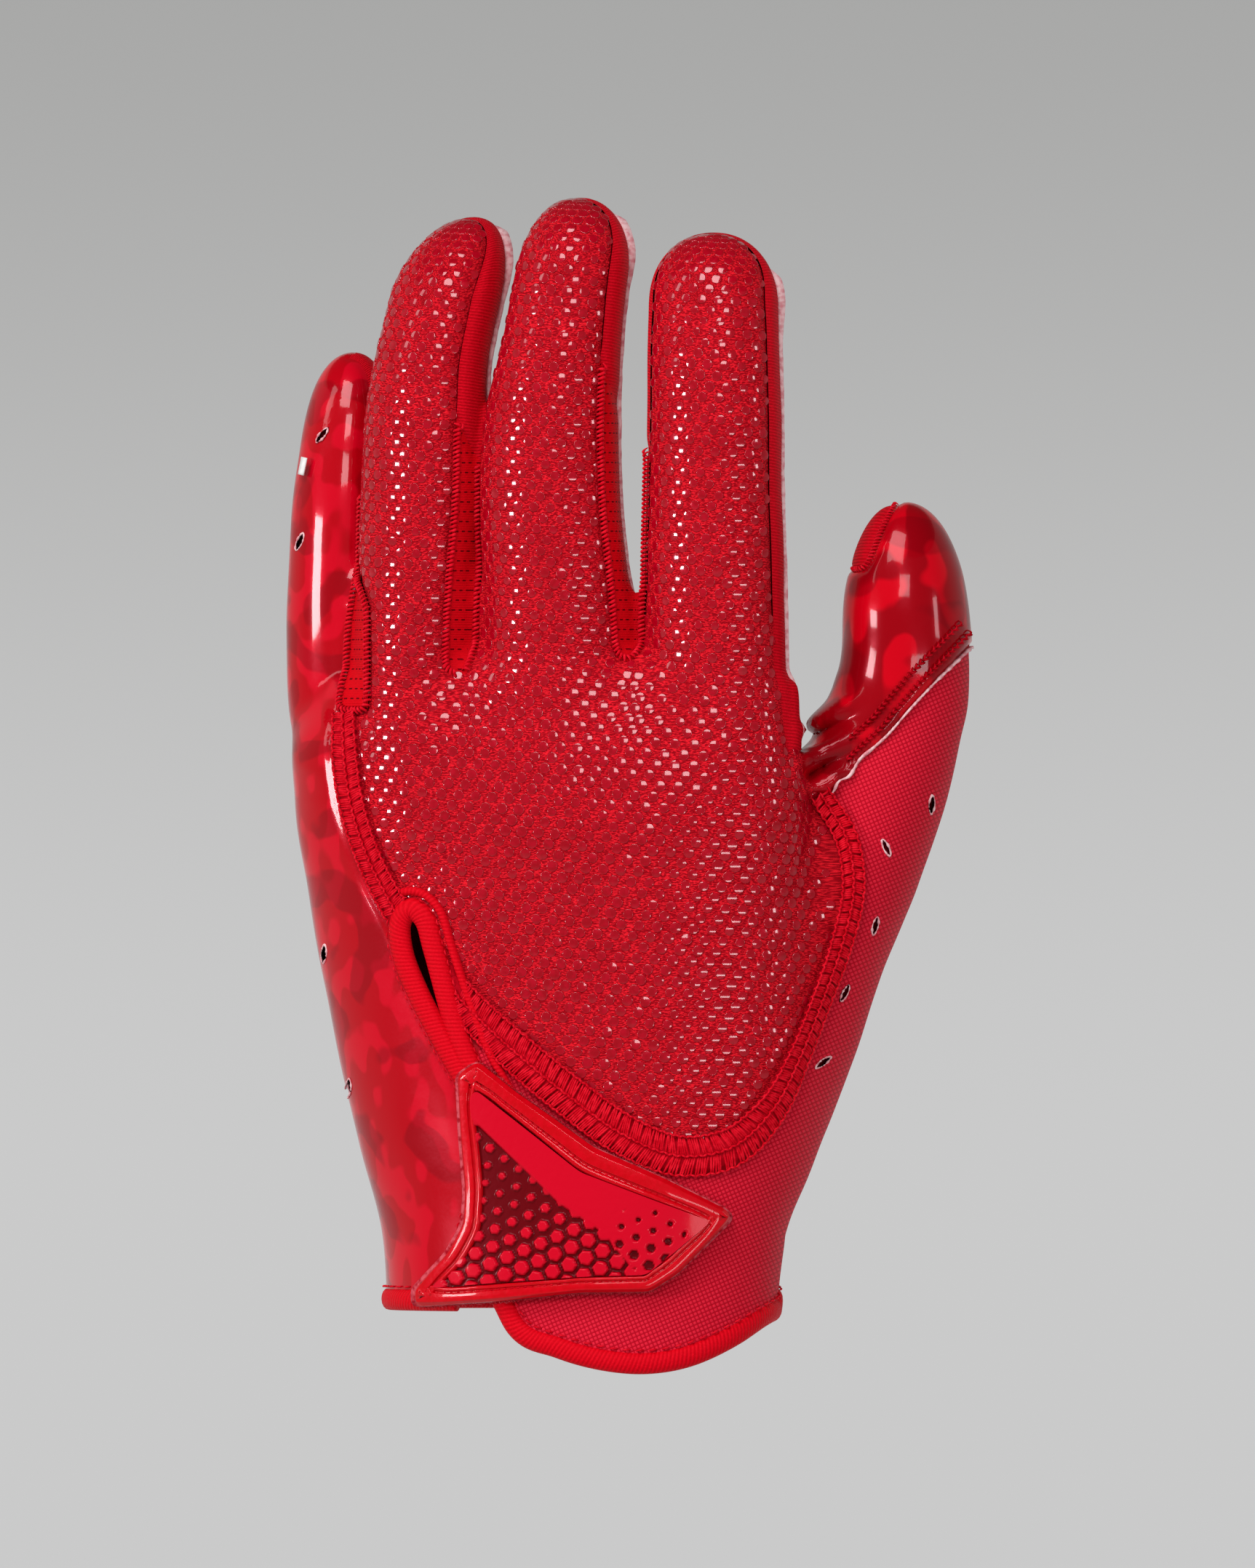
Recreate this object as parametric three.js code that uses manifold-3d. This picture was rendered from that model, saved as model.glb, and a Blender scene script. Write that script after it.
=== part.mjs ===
// Left-hand receiver glove, held open as it is when worn: fingers up (+Z), back of the hand
// towards -Y, thumb towards +X. The origin is the middle of the wrist opening. Lengths are in
// millimetres. The glove is one soft shell, cut along its seams into the sewn panels.
import * as THREE from "three";
import Module from "manifold-3d";
import { mergeVertices } from "three/addons/utils/BufferGeometryUtils.js";

const wasm = await Module();
wasm.setup();

// Hand sizes
const PALM_LENGTH = 125; // wrist opening to the root of the fingers
const PALM_BREADTH = 100;
const PALM_DEPTH = 36;
const WRIST_BREADTH = 75;
const WRIST_DEPTH = 45;
const HAND_TURN = 13; // degrees that the little finger's side is turned back
const FINGER_BREADTH = 25;
const FINGER_DEPTH = 20.5;
const INDEX_LENGTH = 83.5; // each finger from the palm's end to its tip
const MIDDLE_LENGTH = 90.4;
const RING_LENGTH = 86.8;
const LITTLE_LENGTH = 60.6;
const THUMB_LENGTH = 51; // from the fork of the thumb to its tip
const THUMB_BREADTH = 25;
const THUMB_DEPTH = 24;

// Cloth and seams
const CLOTH = 1.4;
const SEAM_GAP = 0.36;
const SIDE_STRIP = 9.4; // width of the knitted strip along each finger's sides
const STRIP_RISE = 5.9; // how far the strip's upper seam lies above the finger's middle
const TIP_DROP = 3; // how far that seam drops at the fingertip
const SIDE_REACH = 2.2; // how far the cuts beside a finger reach past it
const VENT_LENGTH = 4.2;
const VENT_WIDTH = 1.1;

// Overlocked band round the back panel
const BAND_WIDTH = 7.6;
const BAND_PROUD = 0.6;

// Rolled bindings
const HEM_RADIUS = 1.9;
const HEM_DROP = 12; // how far the front flap's hem hangs below the wrist opening
const KEYHOLE_RADIUS = 1.7;

// Closure tab
const TAB_LENGTH = 60.5;
const TAB_HEIGHT = 47.5;
const TAB_BACKING = 1.1; // hook pad under the tab
const TAB_FLOOR = 0.9; // floor of the textured inlay
const TAB_RELIEF = 0.8; // height of the inlay's face over its floor
const RIM_RISE = 0.8; // rim over the inlay's face
const HEX_PITCH = 4.4;
const HEX_LARGEST = 1.75; // radius of the largest raised cell
const HEX_SMALLEST = 0.7;

// Mesh fineness
const OUTSIDE = { finger: 14, hand: 24, cap: 3 };
const INSIDE = { finger: 8, hand: 14, cap: 2 };
const SPARE = 0.13; // how far a face may move when points are spared
const FAR = 90; // reach of a cutting tool beyond the glove

const UP = (share) => share * PALM_LENGTH;
const ACROSS = (share) => share * PALM_BREADTH;
const DEEP = (share) => share * PALM_DEPTH;
const radians = (degrees) => (degrees * Math.PI) / 180;
const mix = (a, b, t) => a + (b - a) * t;

// The hand's body from the wrist up. up is a share of the palm's length; left and right are shares
// of the breadth, and depth of the depth, of the wrist in its rows and of the palm in the others.
// set is a share of the palm's depth.
const HAND_ROWS = [
  { up: -0.17, left: -0.487, right: 0.493, depth: 1, set: 0.02, square: 2.3, wrist: true },
  { up: 0.0, left: -0.496, right: 0.496, depth: 1, set: 0.02, square: 2.3, wrist: true },
  { up: 0.115, left: -0.509, right: 0.509, depth: 0.96, set: 0.02, square: 2.3, wrist: true },
  { up: 0.25, left: -0.425, right: 0.42, depth: 1.14, set: 0.03, square: 2.3 },
  { up: 0.385, left: -0.466, right: 0.44, depth: 1.1, set: 0.04, square: 2.3 },
  { up: 0.52, left: -0.5, right: 0.44, depth: 1.06, set: 0.05, square: 2.3 },
  { up: 0.655, left: -0.53, right: 0.435, depth: 1, set: 0.04, square: 2.3 },
  { up: 0.79, left: -0.553, right: 0.43, depth: 0.92, set: 0.02, square: 2.35 },
  { up: 0.88, left: -0.545, right: 0.408, depth: 0.8, set: 0.01, square: 2.4 },
  { up: 0.95, left: -0.485, right: 0.4, depth: 0.67, set: 0.0, square: 2.5 },
];
const HAND_CAP = 0.078; // share of the palm's length that the top between the fingers rises

// Fingers: at is a share of the finger's own length, negative inside the palm; x is a share of
// the palm's breadth, y of its depth, wide and deep of a finger's breadth and depth. The last row
// is the shoulder, from which a rounded cap runs to the tip. seam is the height of the strip's
// upper seam at the finger's left and right, as shares of STRIP_RISE.
const FINGERS = {
  little: {
    length: LITTLE_LENGTH,
    roll: 25,
    tip: { x: -0.445, y: 0.64 },
    limbs: [{ side: 1, from: -0.24 }],
    seam: { left: 1, right: 1 },
    rows: [
      { at: -0.56, x: -0.405, y: 0.28, wide: 0.72, deep: 0.85 },
      { at: -0.16, x: -0.464, y: 0.43, wide: 0.84, deep: 0.9 },
      { at: 0.08, x: -0.472, y: 0.5, wide: 0.82, deep: 0.89 },
      { at: 0.34, x: -0.471, y: 0.53, wide: 0.79, deep: 0.88 },
      { at: 0.56, x: -0.464, y: 0.55, wide: 0.76, deep: 0.86 },
      { at: 0.7, x: -0.458, y: 0.575, wide: 0.72, deep: 0.84 },
    ],
  },
  ring: {
    length: RING_LENGTH,
    roll: 25,
    tip: { x: -0.213, y: 0.3 },
    limbs: [
      { side: -1, from: -0.15 },
      { side: 1, from: -0.02 },
    ],
    seam: { left: 0.42, right: 1.14 },
    rows: [
      { at: -0.35, x: -0.31, y: 0.08, wide: 0.9, deep: 1 },
      { at: 0.02, x: -0.323, y: 0.12, wide: 0.92, deep: 1 },
      { at: 0.17, x: -0.318, y: 0.12, wide: 0.93, deep: 1 },
      { at: 0.35, x: -0.309, y: 0.125, wide: 0.98, deep: 0.99 },
      { at: 0.54, x: -0.302, y: 0.13, wide: 0.96, deep: 0.98 },
      { at: 0.67, x: -0.292, y: 0.15, wide: 0.91, deep: 0.96 },
      { at: 0.8, x: -0.267, y: 0.19, wide: 0.89, deep: 0.92 },
    ],
  },
  middle: {
    length: MIDDLE_LENGTH,
    roll: 15,
    tip: { x: -0.007, y: 0.12 },
    limbs: [
      { side: -1, from: -0.02 },
      { side: 1, from: -0.02 },
    ],
    seam: { left: 0.33, right: 1 },
    rows: [
      { at: -0.35, x: -0.045, y: -0.06, wide: 1.12, deep: 1 },
      { at: 0.02, x: -0.047, y: -0.06, wide: 1.2, deep: 1.02 },
      { at: 0.16, x: -0.05, y: -0.07, wide: 1.15, deep: 1.02 },
      { at: 0.32, x: -0.062, y: -0.075, wide: 1.12, deep: 1 },
      { at: 0.52, x: -0.06, y: -0.07, wide: 1.06, deep: 0.98 },
      { at: 0.68, x: -0.041, y: -0.05, wide: 0.94, deep: 0.95 },
      { at: 0.83, x: -0.021, y: -0.01, wide: 0.89, deep: 0.9 },
    ],
  },
  index: {
    length: INDEX_LENGTH,
    roll: 17,
    tip: { x: 0.252, y: -0.07 },
    limbs: [
      { side: -1, from: -0.02 },
      { side: 1, from: -0.2 },
    ],
    seam: { left: 0.8, right: 0.62 },
    rows: [
      { at: -0.35, x: 0.262, y: -0.18, wide: 1.08, deep: 1 },
      { at: 0.02, x: 0.259, y: -0.2, wide: 1.1, deep: 1.03 },
      { at: 0.2, x: 0.256, y: -0.21, wide: 1.1, deep: 1.03 },
      { at: 0.38, x: 0.255, y: -0.22, wide: 1.07, deep: 1 },
      { at: 0.58, x: 0.256, y: -0.22, wide: 1.05, deep: 0.98 },
      { at: 0.72, x: 0.255, y: -0.2, wide: 1.04, deep: 0.95 },
      { at: 0.83, x: 0.254, y: -0.16, wide: 1.02, deep: 0.9 },
    ],
  },
};

// Thumb: at is a share of the thumb's length past its fork, and the lowest rows lie in the palm.
const THUMB_FORK = 0.836; // share of the palm's length
const THUMB = {
  tip: { x: 0.622, y: 0.09 },
  rows: [
    { at: -1.77, x: 0.2, y: 0.06, wide: 1.36, deep: 1.42 },
    { at: -1.44, x: 0.266, y: 0.09, wide: 1.53, deep: 1.42 },
    { at: -1.11, x: 0.338, y: 0.12, wide: 1.49, deep: 1.4 },
    { at: -0.77, x: 0.409, y: 0.14, wide: 1.38, deep: 1.36 },
    { at: -0.44, x: 0.489, y: 0.14, wide: 1.3, deep: 1.3 },
    { at: -0.22, x: 0.535, y: 0.13, wide: 1.24, deep: 1.22 },
    { at: 0.0, x: 0.573, y: 0.11, wide: 1.18, deep: 1.13 },
    { at: 0.12, x: 0.594, y: 0.1, wide: 1.12, deep: 1.08 },
    { at: 0.23, x: 0.61, y: 0.09, wide: 1.08, deep: 1.03 },
    { at: 0.34, x: 0.624, y: 0.08, wide: 1, deep: 0.98 },
    { at: 0.45, x: 0.63, y: 0.07, wide: 0.95, deep: 0.95 },
    { at: 0.56, x: 0.629, y: 0.065, wide: 0.92, deep: 0.92 },
  ],
};

// Middle line of the overlocked band, from the little finger's side round below the back panel
// to the thumb: x and up are shares of the palm's breadth and length, wide of the band's width.
const BAND_LINE = [
  { x: -0.462, up: 0.925, wide: 0.62 },
  { x: -0.458, up: 0.85, wide: 0.7 },
  { x: -0.444, up: 0.778, wide: 0.7 },
  { x: -0.411, up: 0.698, wide: 0.7 },
  { x: -0.369, up: 0.631, wide: 0.72 },
  { x: -0.296, up: 0.541, wide: 0.8 },
  { x: -0.204, up: 0.456, wide: 0.9 },
  { x: -0.113, up: 0.389, wide: 0.98 },
  { x: -0.014, up: 0.325, wide: 1 },
  { x: 0.085, up: 0.27, wide: 1 },
  { x: 0.19, up: 0.239, wide: 1 },
  { x: 0.285, up: 0.251, wide: 0.98 },
  { x: 0.366, up: 0.31, wide: 0.8 },
  { x: 0.42, up: 0.394, wide: 0.64 },
  { x: 0.462, up: 0.479, wide: 0.6 },
  { x: 0.5, up: 0.563, wide: 0.58 },
  { x: 0.525, up: 0.659, wide: 0.56 },
  { x: 0.511, up: 0.732, wide: 0.56 },
  { x: 0.462, up: 0.795, wide: 0.52 },
];

// Middle line of the rolled binding round the keyhole slit beside the wrist.
const KEYHOLE_LINE = [
  { x: -0.175, up: 0.27 },
  { x: -0.225, up: 0.338 },
  { x: -0.282, up: 0.417 },
  { x: -0.327, up: 0.496 },
  { x: -0.352, up: 0.563 },
  { x: -0.352, up: 0.606 },
  { x: -0.332, up: 0.625 },
  { x: -0.306, up: 0.612 },
  { x: -0.286, up: 0.565 },
  { x: -0.264, up: 0.51 },
  { x: -0.238, up: 0.45 },
  { x: -0.205, up: 0.383 },
  { x: -0.16, up: 0.32 },
];

// Lower edge of the front flap: drop is a share of how far its hem hangs.
const FLAP_EDGE = [
  { x: -0.168, drop: -0.12 },
  { x: -0.13, drop: 0.4 },
  { x: -0.048, drop: 0.74 },
  { x: 0.045, drop: 0.95 },
  { x: 0.12, drop: 1 },
  { x: 0.2, drop: 0.9 },
  { x: 0.29, drop: 0.58 },
  { x: 0.366, drop: 0.2 },
];

// Closure tab: along and up are shares of its length and height from its lower left corner.
const TAB_PLACE = { x: -0.317, up: 0.005 };
const TAB_OUTLINE = [
  { along: 0.0, up: 0.0 },
  { along: 0.27, up: 0.027 },
  { along: 0.52, up: 0.063 },
  { along: 0.74, up: 0.066 },
  { along: 0.83, up: 0.14 },
  { along: 0.985, up: 0.345 },
  { along: 1.0, up: 0.375 },
  { along: 0.975, up: 0.405 },
  { along: 0.78, up: 0.53 },
  { along: 0.565, up: 0.65 },
  { along: 0.44, up: 0.765 },
  { along: 0.31, up: 0.88 },
  { along: 0.195, up: 1.0 },
  { along: 0.13, up: 0.945 },
  { along: 0.14, up: 0.7 },
  { along: 0.155, up: 0.47 },
  { along: 0.15, up: 0.34 },
  { along: 0.1, up: 0.22 },
  { along: -0.005, up: 0.07 },
];
// Outline of the moulded inlay inside the tab's rim, in the same shares.
const INLAY_OUTLINE = [
  { along: 0.07, up: 0.075 },
  { along: 0.3, up: 0.1 },
  { along: 0.559, up: 0.124 },
  { along: 0.729, up: 0.13 },
  { along: 0.82, up: 0.23 },
  { along: 0.924, up: 0.352 },
  { along: 0.74, up: 0.44 },
  { along: 0.529, up: 0.545 },
  { along: 0.36, up: 0.72 },
  { along: 0.2, up: 0.885 },
  { along: 0.182, up: 0.84 },
  { along: 0.205, up: 0.64 },
  { along: 0.218, up: 0.447 },
  { along: 0.2, up: 0.27 },
  { along: 0.14, up: 0.16 },
];
// Corner row of the raised smooth field over the inlay's floor, in the same shares.
const SMOOTH_FIELD = [
  { along: 0.16, up: 0.8 },
  { along: 0.46, up: 0.42 },
  { along: 0.6, up: 0.3 },
  { along: 0.72, up: 0.1 },
  { along: 1.05, up: 0.1 },
  { along: 1.05, up: 0.6 },
  { along: 0.5, up: 0.95 },
  { along: 0.1, up: 1.1 },
];

// Seam of the glossy wrap on the thumb, across its front.
const WRAP_SEAM = [
  { x: 0.4, up: 0.8 },
  { x: 0.445, up: 0.793 },
  { x: 0.479, up: 0.797 },
  { x: 0.513, up: 0.827 },
  { x: 0.552, up: 0.86 },
  { x: 0.59, up: 0.888 },
  { x: 0.63, up: 0.926 },
  { x: 0.677, up: 0.968 },
  { x: 0.76, up: 1.035 },
];
// Edge of the woven side panel on the palm's face, from the wrist up to the thumb.
const THENAR_SEAM = [
  { x: 0.2, up: -0.2 },
  { x: 0.22, up: 0.2 },
  { x: 0.3, up: 0.45 },
  { x: 0.4, up: 0.7 },
  { x: 0.44, up: 0.84 },
];
// Woven gussets that fill the forks: from the side of the left finger (top) down round the fork.
const GUSSETS = [
  {
    name: "gusset_little_ring",
    upper: [{ x: -0.5, up: 1.2 }, { x: -0.41, up: 1.27 }, { x: -0.33, up: 1.3 }],
  },
  {
    name: "gusset_ring_middle",
    upper: [{ x: -0.285, up: 1.445 }, { x: -0.19, up: 1.3 }, { x: -0.05, up: 1.26 }],
  },
  {
    name: "gusset_middle_index",
    upper: [{ x: 0.005, up: 1.53 }, { x: 0.095, up: 1.36 }, { x: 0.26, up: 1.2 }],
  },
];

// Slit vents: place on the front view as shares, and the angle of the slit in degrees.
const VENTS = [
  { panel: "thumb_panel", x: 0.676, up: 0.782, lean: 86 },
  { panel: "thumb_panel", x: 0.588, up: 0.715, lean: 115 },
  { panel: "thumb_panel", x: 0.567, up: 0.594, lean: 76 },
  { panel: "thumb_panel", x: 0.507, up: 0.49, lean: 62 },
  { panel: "thumb_panel", x: 0.466, up: 0.383, lean: 35 },
  { panel: "palm", x: -0.504, up: 1.355, lean: 52 },
  { panel: "palm", x: -0.548, up: 1.19, lean: 68 },
  { panel: "palm", x: -0.5, up: 0.55, lean: 84 },
  { panel: "palm", x: -0.452, up: 0.342, lean: 84 },
];

// A solid from a geometry whose faces point out.
function solid(geometry) {
  const bare = geometry.index ? geometry.toNonIndexed() : geometry.clone();
  const merged = mergeVertices(
    new THREE.BufferGeometry().setAttribute("position", bare.getAttribute("position")),
    1e-4,
  );
  return new wasm.Manifold(
    new wasm.Mesh({
      numProp: 3,
      vertProperties: new Float32Array(merged.attributes.position.array),
      triVerts: new Uint32Array(merged.index.array),
    }),
  );
}

// The geometry of a solid, without the points that its flat places can spare.
function geometryOf(made) {
  const mesh = made.simplify(SPARE).getMesh();
  const places = new Float32Array(mesh.numVert * 3);
  for (let i = 0; i < mesh.numVert; i++) {
    places.set(mesh.vertProperties.subarray(i * mesh.numProp, i * mesh.numProp + 3), i * 3);
  }
  const geometry = new THREE.BufferGeometry()
    .setAttribute("position", new THREE.BufferAttribute(places, 3))
    .setIndex(new THREE.BufferAttribute(new Uint32Array(mesh.triVerts), 1))
    .toNonIndexed();
  geometry.computeVertexNormals();
  return geometry;
}

const joined = (solids) => solids.reduce((all, one) => all.add(one));

// The largest body of a solid, without the crumbs that a seam's cut leaves.
function mainBody(made) {
  return made.decompose().reduce((best, one) => (one.volume() > best.volume() ? one : best));
}

// A closed solid through level rings, each a list of points of the same number, from low to high.
function skin(rings) {
  const count = rings[0].length;
  const points = rings.flat();
  const faces = [];
  for (let r = 0; r + 1 < rings.length; r++) {
    for (let i = 0; i < count; i++) {
      const a = r * count + i;
      const b = r * count + ((i + 1) % count);
      faces.push(a, b, b + count, a, b + count, a + count);
    }
  }
  const middle = (ring) =>
    ring.reduce((sum, p) => sum.add(p), new THREE.Vector3()).divideScalar(count);
  points.push(middle(rings[0]), middle(rings[rings.length - 1]));
  const top = (rings.length - 1) * count;
  for (let i = 0; i < count; i++) {
    const next = (i + 1) % count;
    faces.push(points.length - 2, next, i);
    faces.push(points.length - 1, top + i, top + next);
  }
  const geometry = new THREE.BufferGeometry().setFromPoints(points);
  geometry.setIndex(faces);
  return solid(geometry);
}

// An oval ring at a level: square is 2 for an ellipse and more for a boxier oval.
function ovalRing(level, sides) {
  const ring = [];
  const turn = radians(level.turn);
  for (let i = 0; i < sides; i++) {
    const angle = (2 * Math.PI * i) / sides;
    const power = 2 / level.square;
    const u = level.halfWidth * Math.sign(Math.cos(angle)) * Math.abs(Math.cos(angle)) ** power;
    const v = level.halfDepth * Math.sign(Math.sin(angle)) * Math.abs(Math.sin(angle)) ** power;
    ring.push(
      new THREE.Vector3(
        level.x + u * Math.cos(turn) + v * Math.sin(turn),
        level.y - u * Math.sin(turn) + v * Math.cos(turn),
        level.z,
      ),
    );
  }
  return ring;
}

// Levels of the hand's body, grown outwards (or inwards, if grow is negative).
function handLevels(grow) {
  const levels = HAND_ROWS.map((row) => {
    const breadth = row.wrist ? WRIST_BREADTH : PALM_BREADTH;
    const depth = row.wrist ? WRIST_DEPTH : PALM_DEPTH;
    return {
      z: UP(row.up),
      x: ((row.left + row.right) / 2) * breadth,
      y: DEEP(row.set),
      halfWidth: ((row.right - row.left) * breadth) / 2 / Math.cos(radians(HAND_TURN)) + grow,
      halfDepth: (row.depth * depth) / 2 + grow,
      turn: HAND_TURN,
      square: row.square,
    };
  });
  if (grow < 0) {
    levels[0].z += grow;
  }
  return levels;
}

const fineness = (grow) => (grow < 0 ? INSIDE : OUTSIDE);

// The inside skips every other row, and keeps the first, the second and the last.
const thinned = (levels, grow) =>
  grow < 0 ? levels.filter((_, i) => i < 2 || i % 2 === (levels.length - 1) % 2) : levels;

// Adds the rounded end from the last level up to its tip.
function withCap(levels, height, tip, rings) {
  const shoulder = levels[levels.length - 1];
  for (let k = 1; k <= rings; k++) {
    const angle = (Math.PI / 2) * (k / (rings + 0.35));
    levels.push({
      ...shoulder,
      z: shoulder.z + height * Math.sin(angle),
      x: mix(shoulder.x, tip.x, Math.sin(angle)),
      y: mix(shoulder.y, tip.y, Math.sin(angle)),
      halfWidth: shoulder.halfWidth * Math.cos(angle),
      halfDepth: shoulder.halfDepth * Math.cos(angle),
    });
  }
  return levels;
}

// Body levels of a finger or the thumb, without its cap.
function digitLevels(digit, grow) {
  return digit.rows.map((row) => ({
    z: digit.root + row.at * digit.length,
    x: ACROSS(row.x),
    y: DEEP(row.y),
    halfWidth: (row.wide * digit.breadth) / 2 + grow,
    halfDepth: (row.deep * digit.depth) / 2 + grow,
    turn: digit.roll,
    square: 2.15,
  }));
}

function digitSkin(digit, grow) {
  const levels = thinned(digitLevels(digit, grow), grow);
  const height = digit.root + digit.length - levels[levels.length - 1].z;
  const tip = { x: ACROSS(digit.tip.x), y: DEEP(digit.tip.y) };
  const { finger, cap } = fineness(grow);
  return skin(withCap(levels, height + grow, tip, cap).map((level) => ovalRing(level, finger)));
}

const digits = Object.entries(FINGERS).map(([name, finger]) => ({
  name,
  root: PALM_LENGTH,
  breadth: FINGER_BREADTH,
  depth: FINGER_DEPTH,
  ...finger,
}));
const thumb = {
  name: "thumb",
  root: UP(THUMB_FORK),
  length: THUMB_LENGTH,
  breadth: THUMB_BREADTH,
  depth: THUMB_DEPTH,
  roll: HAND_TURN,
  ...THUMB,
};
const digitNamed = (name) => digits.find((digit) => digit.name === name);

const handSkin = (grow) => {
  const levels = thinned(handLevels(grow), grow);
  const { hand, cap } = fineness(grow);
  const capped = withCap(levels, UP(HAND_CAP) + grow, levels[levels.length - 1], cap);
  return skin(capped.map((level) => ovalRing(level, hand)));
};
const gloveSkin = (grow) =>
  joined([handSkin(grow), digitSkin(thumb, grow), ...digits.map((d) => digitSkin(d, grow))]);

// A front-view outline (x, z) made into a tool that cuts from y = from to y = to.
function prism(outline, from, to) {
  const shape = new THREE.Shape(outline);
  const geometry = new THREE.ExtrudeGeometry(shape, { depth: to - from, bevelEnabled: false });
  geometry.rotateX(Math.PI / 2).translate(0, to, 0);
  return solid(geometry);
}

// A smooth line through a table's points, with count steps.
function smoothLine(points, count) {
  const curve = new THREE.CatmullRomCurve3(
    points.map((p) => new THREE.Vector3(p.x, p.y, 0)),
    false,
    "centripetal",
  );
  return curve.getPoints(count).map((p) => new THREE.Vector2(p.x, p.y));
}

// Unit normals to the left of a line's run.
function leftNormals(line) {
  return line.map((p, i) => {
    const before = line[Math.max(i - 1, 0)];
    const after = line[Math.min(i + 1, line.length - 1)];
    const run = after.clone().sub(before).normalize();
    return new THREE.Vector2(-run.y, run.x);
  });
}

// A closed outline moved outwards by a distance.
function grown(outline, distance) {
  const side = Math.sign(THREE.ShapeUtils.area(outline));
  return outline.map((p, i) => {
    const before = outline[(i + outline.length - 1) % outline.length];
    const after = outline[(i + 1) % outline.length];
    const into = p.clone().sub(before).normalize();
    const out = after.clone().sub(p).normalize();
    const normal = new THREE.Vector2(into.y + out.y, -into.x - out.x).normalize();
    const corner = Math.max(0.5, normal.dot(new THREE.Vector2(into.y, -into.x)));
    return p.clone().addScaledVector(normal, (side * distance) / corner);
  });
}

const placed = (row) => new THREE.Vector2(ACROSS(row.x), UP(row.up));

// The space on the back-of-hand side of the turned hand's middle, moved back by a distance.
function frontHalf(back) {
  const slope = Math.tan(radians(HAND_TURN));
  const middle = [
    new THREE.Vector2(-FAR, FAR * slope + DEEP(0.04)),
    new THREE.Vector2(ACROSS(0.33), -ACROSS(0.33) * slope + DEEP(0.04)),
    new THREE.Vector2(ACROSS(0.46), DEEP(-0.02)),
    new THREE.Vector2(ACROSS(0.62), DEEP(0.14)),
    new THREE.Vector2(FAR + ACROSS(0.62), DEEP(0.14)),
  ].map((p) => new THREE.Vector2(p.x, p.y + back));
  const outline = [
    ...middle,
    new THREE.Vector2(FAR + ACROSS(0.62), -FAR),
    new THREE.Vector2(-FAR, -FAR),
  ];
  const shape = new THREE.Shape(outline);
  const geometry = new THREE.ExtrudeGeometry(shape, { depth: 4 * FAR, bevelEnabled: false });
  return solid(geometry.translate(0, 0, -FAR));
}

// The overlocked band's outline, wider on each side by grow.
function bandOutline(grow) {
  const line = smoothLine(BAND_LINE.map(placed), 44);
  const widths = smoothLine(
    BAND_LINE.map((row, i) => new THREE.Vector2(i, row.wide * BAND_WIDTH)),
    44,
  );
  const normals = leftNormals(line);
  const edge = (side) =>
    line.map((p, i) => p.clone().addScaledVector(normals[i], side * (widths[i].y / 2 + grow)));
  return [...edge(1), ...edge(-1).reverse()];
}

// The back panel's outline below the fingers: inside the band, and open to the fingers' level.
function backOutline(grow) {
  const line = smoothLine(BAND_LINE.map(placed), 44);
  const last = line[line.length - 1];
  const indexRoot = digitNamed("index").rows[1];
  const edge = ACROSS(indexRoot.x) + indexRoot.wide * FINGER_BREADTH * 0.56;
  const top = PALM_LENGTH + UP(HAND_CAP);
  const outline = [
    ...line,
    new THREE.Vector2(edge + 1, last.y + UP(0.03)),
    new THREE.Vector2(edge, top),
    new THREE.Vector2(line[0].x + 1, top),
  ];
  return grown(outline, grow);
}

// Height of the strip's upper seam over the finger's middle, at a distance u across it.
const seamHeight = (digit, grow) => (level, u) => {
  const share = Math.min(1, Math.max(0, (u / level.halfWidth + 1) / 2));
  return STRIP_RISE * mix(digit.seam.left, digit.seam.right, share) - (level.drop ?? 0) + grow;
};

// A tool that follows a finger between two heights over its middle line, on one side or both.
function alongDigit(digit, reach, low, high, from) {
  const levels = digitLevels(digit, 0);
  const tip = { x: ACROSS(digit.tip.x), y: DEEP(digit.tip.y) };
  const shoulder = levels[levels.length - 1];
  const end = digit.root + digit.length;
  const spine = [
    ...levels,
    { ...shoulder, ...tip, z: end, drop: TIP_DROP },
    { ...shoulder, ...tip, z: end + CLOTH * 6, drop: TIP_DROP },
  ];
  const start = digit.root + from * digit.length;
  const kept = spine.filter((level) => level.z > start + 1);
  const below = [...spine].reverse().find((level) => level.z <= start + 1) ?? spine[0];
  const ratio = (start - below.z) / (kept[0].z - below.z);
  const first = {
    ...kept[0],
    z: start,
    x: mix(below.x, kept[0].x, ratio),
    y: mix(below.y, kept[0].y, ratio),
    halfWidth: mix(below.halfWidth, kept[0].halfWidth, ratio),
  };
  const turn = radians(digit.roll);
  return skin(
    [first, ...kept].map((level) => {
      const left = reach.onlyRight ? -reach.over : -(level.halfWidth + reach.side);
      const right = reach.onlyLeft ? reach.over : level.halfWidth + reach.side;
      const corners = [
        [left, -high(level, left)],
        [right, -high(level, right)],
        [right, -low(level, right)],
        [left, -low(level, left)],
      ];
      return corners.map(
        ([u, v]) =>
          new THREE.Vector3(
            level.x + u * Math.cos(turn) + v * Math.sin(turn),
            level.y - u * Math.sin(turn) + v * Math.cos(turn),
            level.z,
          ),
      );
    }),
  );
}

// The knitted strip's cutting tool on a finger: a limb on each side that has one.
function stripTool(digit, grow) {
  const limbs = digit.limbs.map(({ side, from }) =>
    alongDigit(
      digit,
      { side: SIDE_REACH + grow, over: CLOTH + grow, onlyRight: side > 0, onlyLeft: side < 0 },
      () => STRIP_RISE - SIDE_STRIP - grow,
      seamHeight(digit, grow),
      from - grow / digit.length,
    ),
  );
  return joined(limbs);
}

const dorsalTool = (digit, grow) =>
  alongDigit(digit, { side: SIDE_REACH }, seamHeight(digit, grow), () => FAR / 2, 0);

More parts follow.
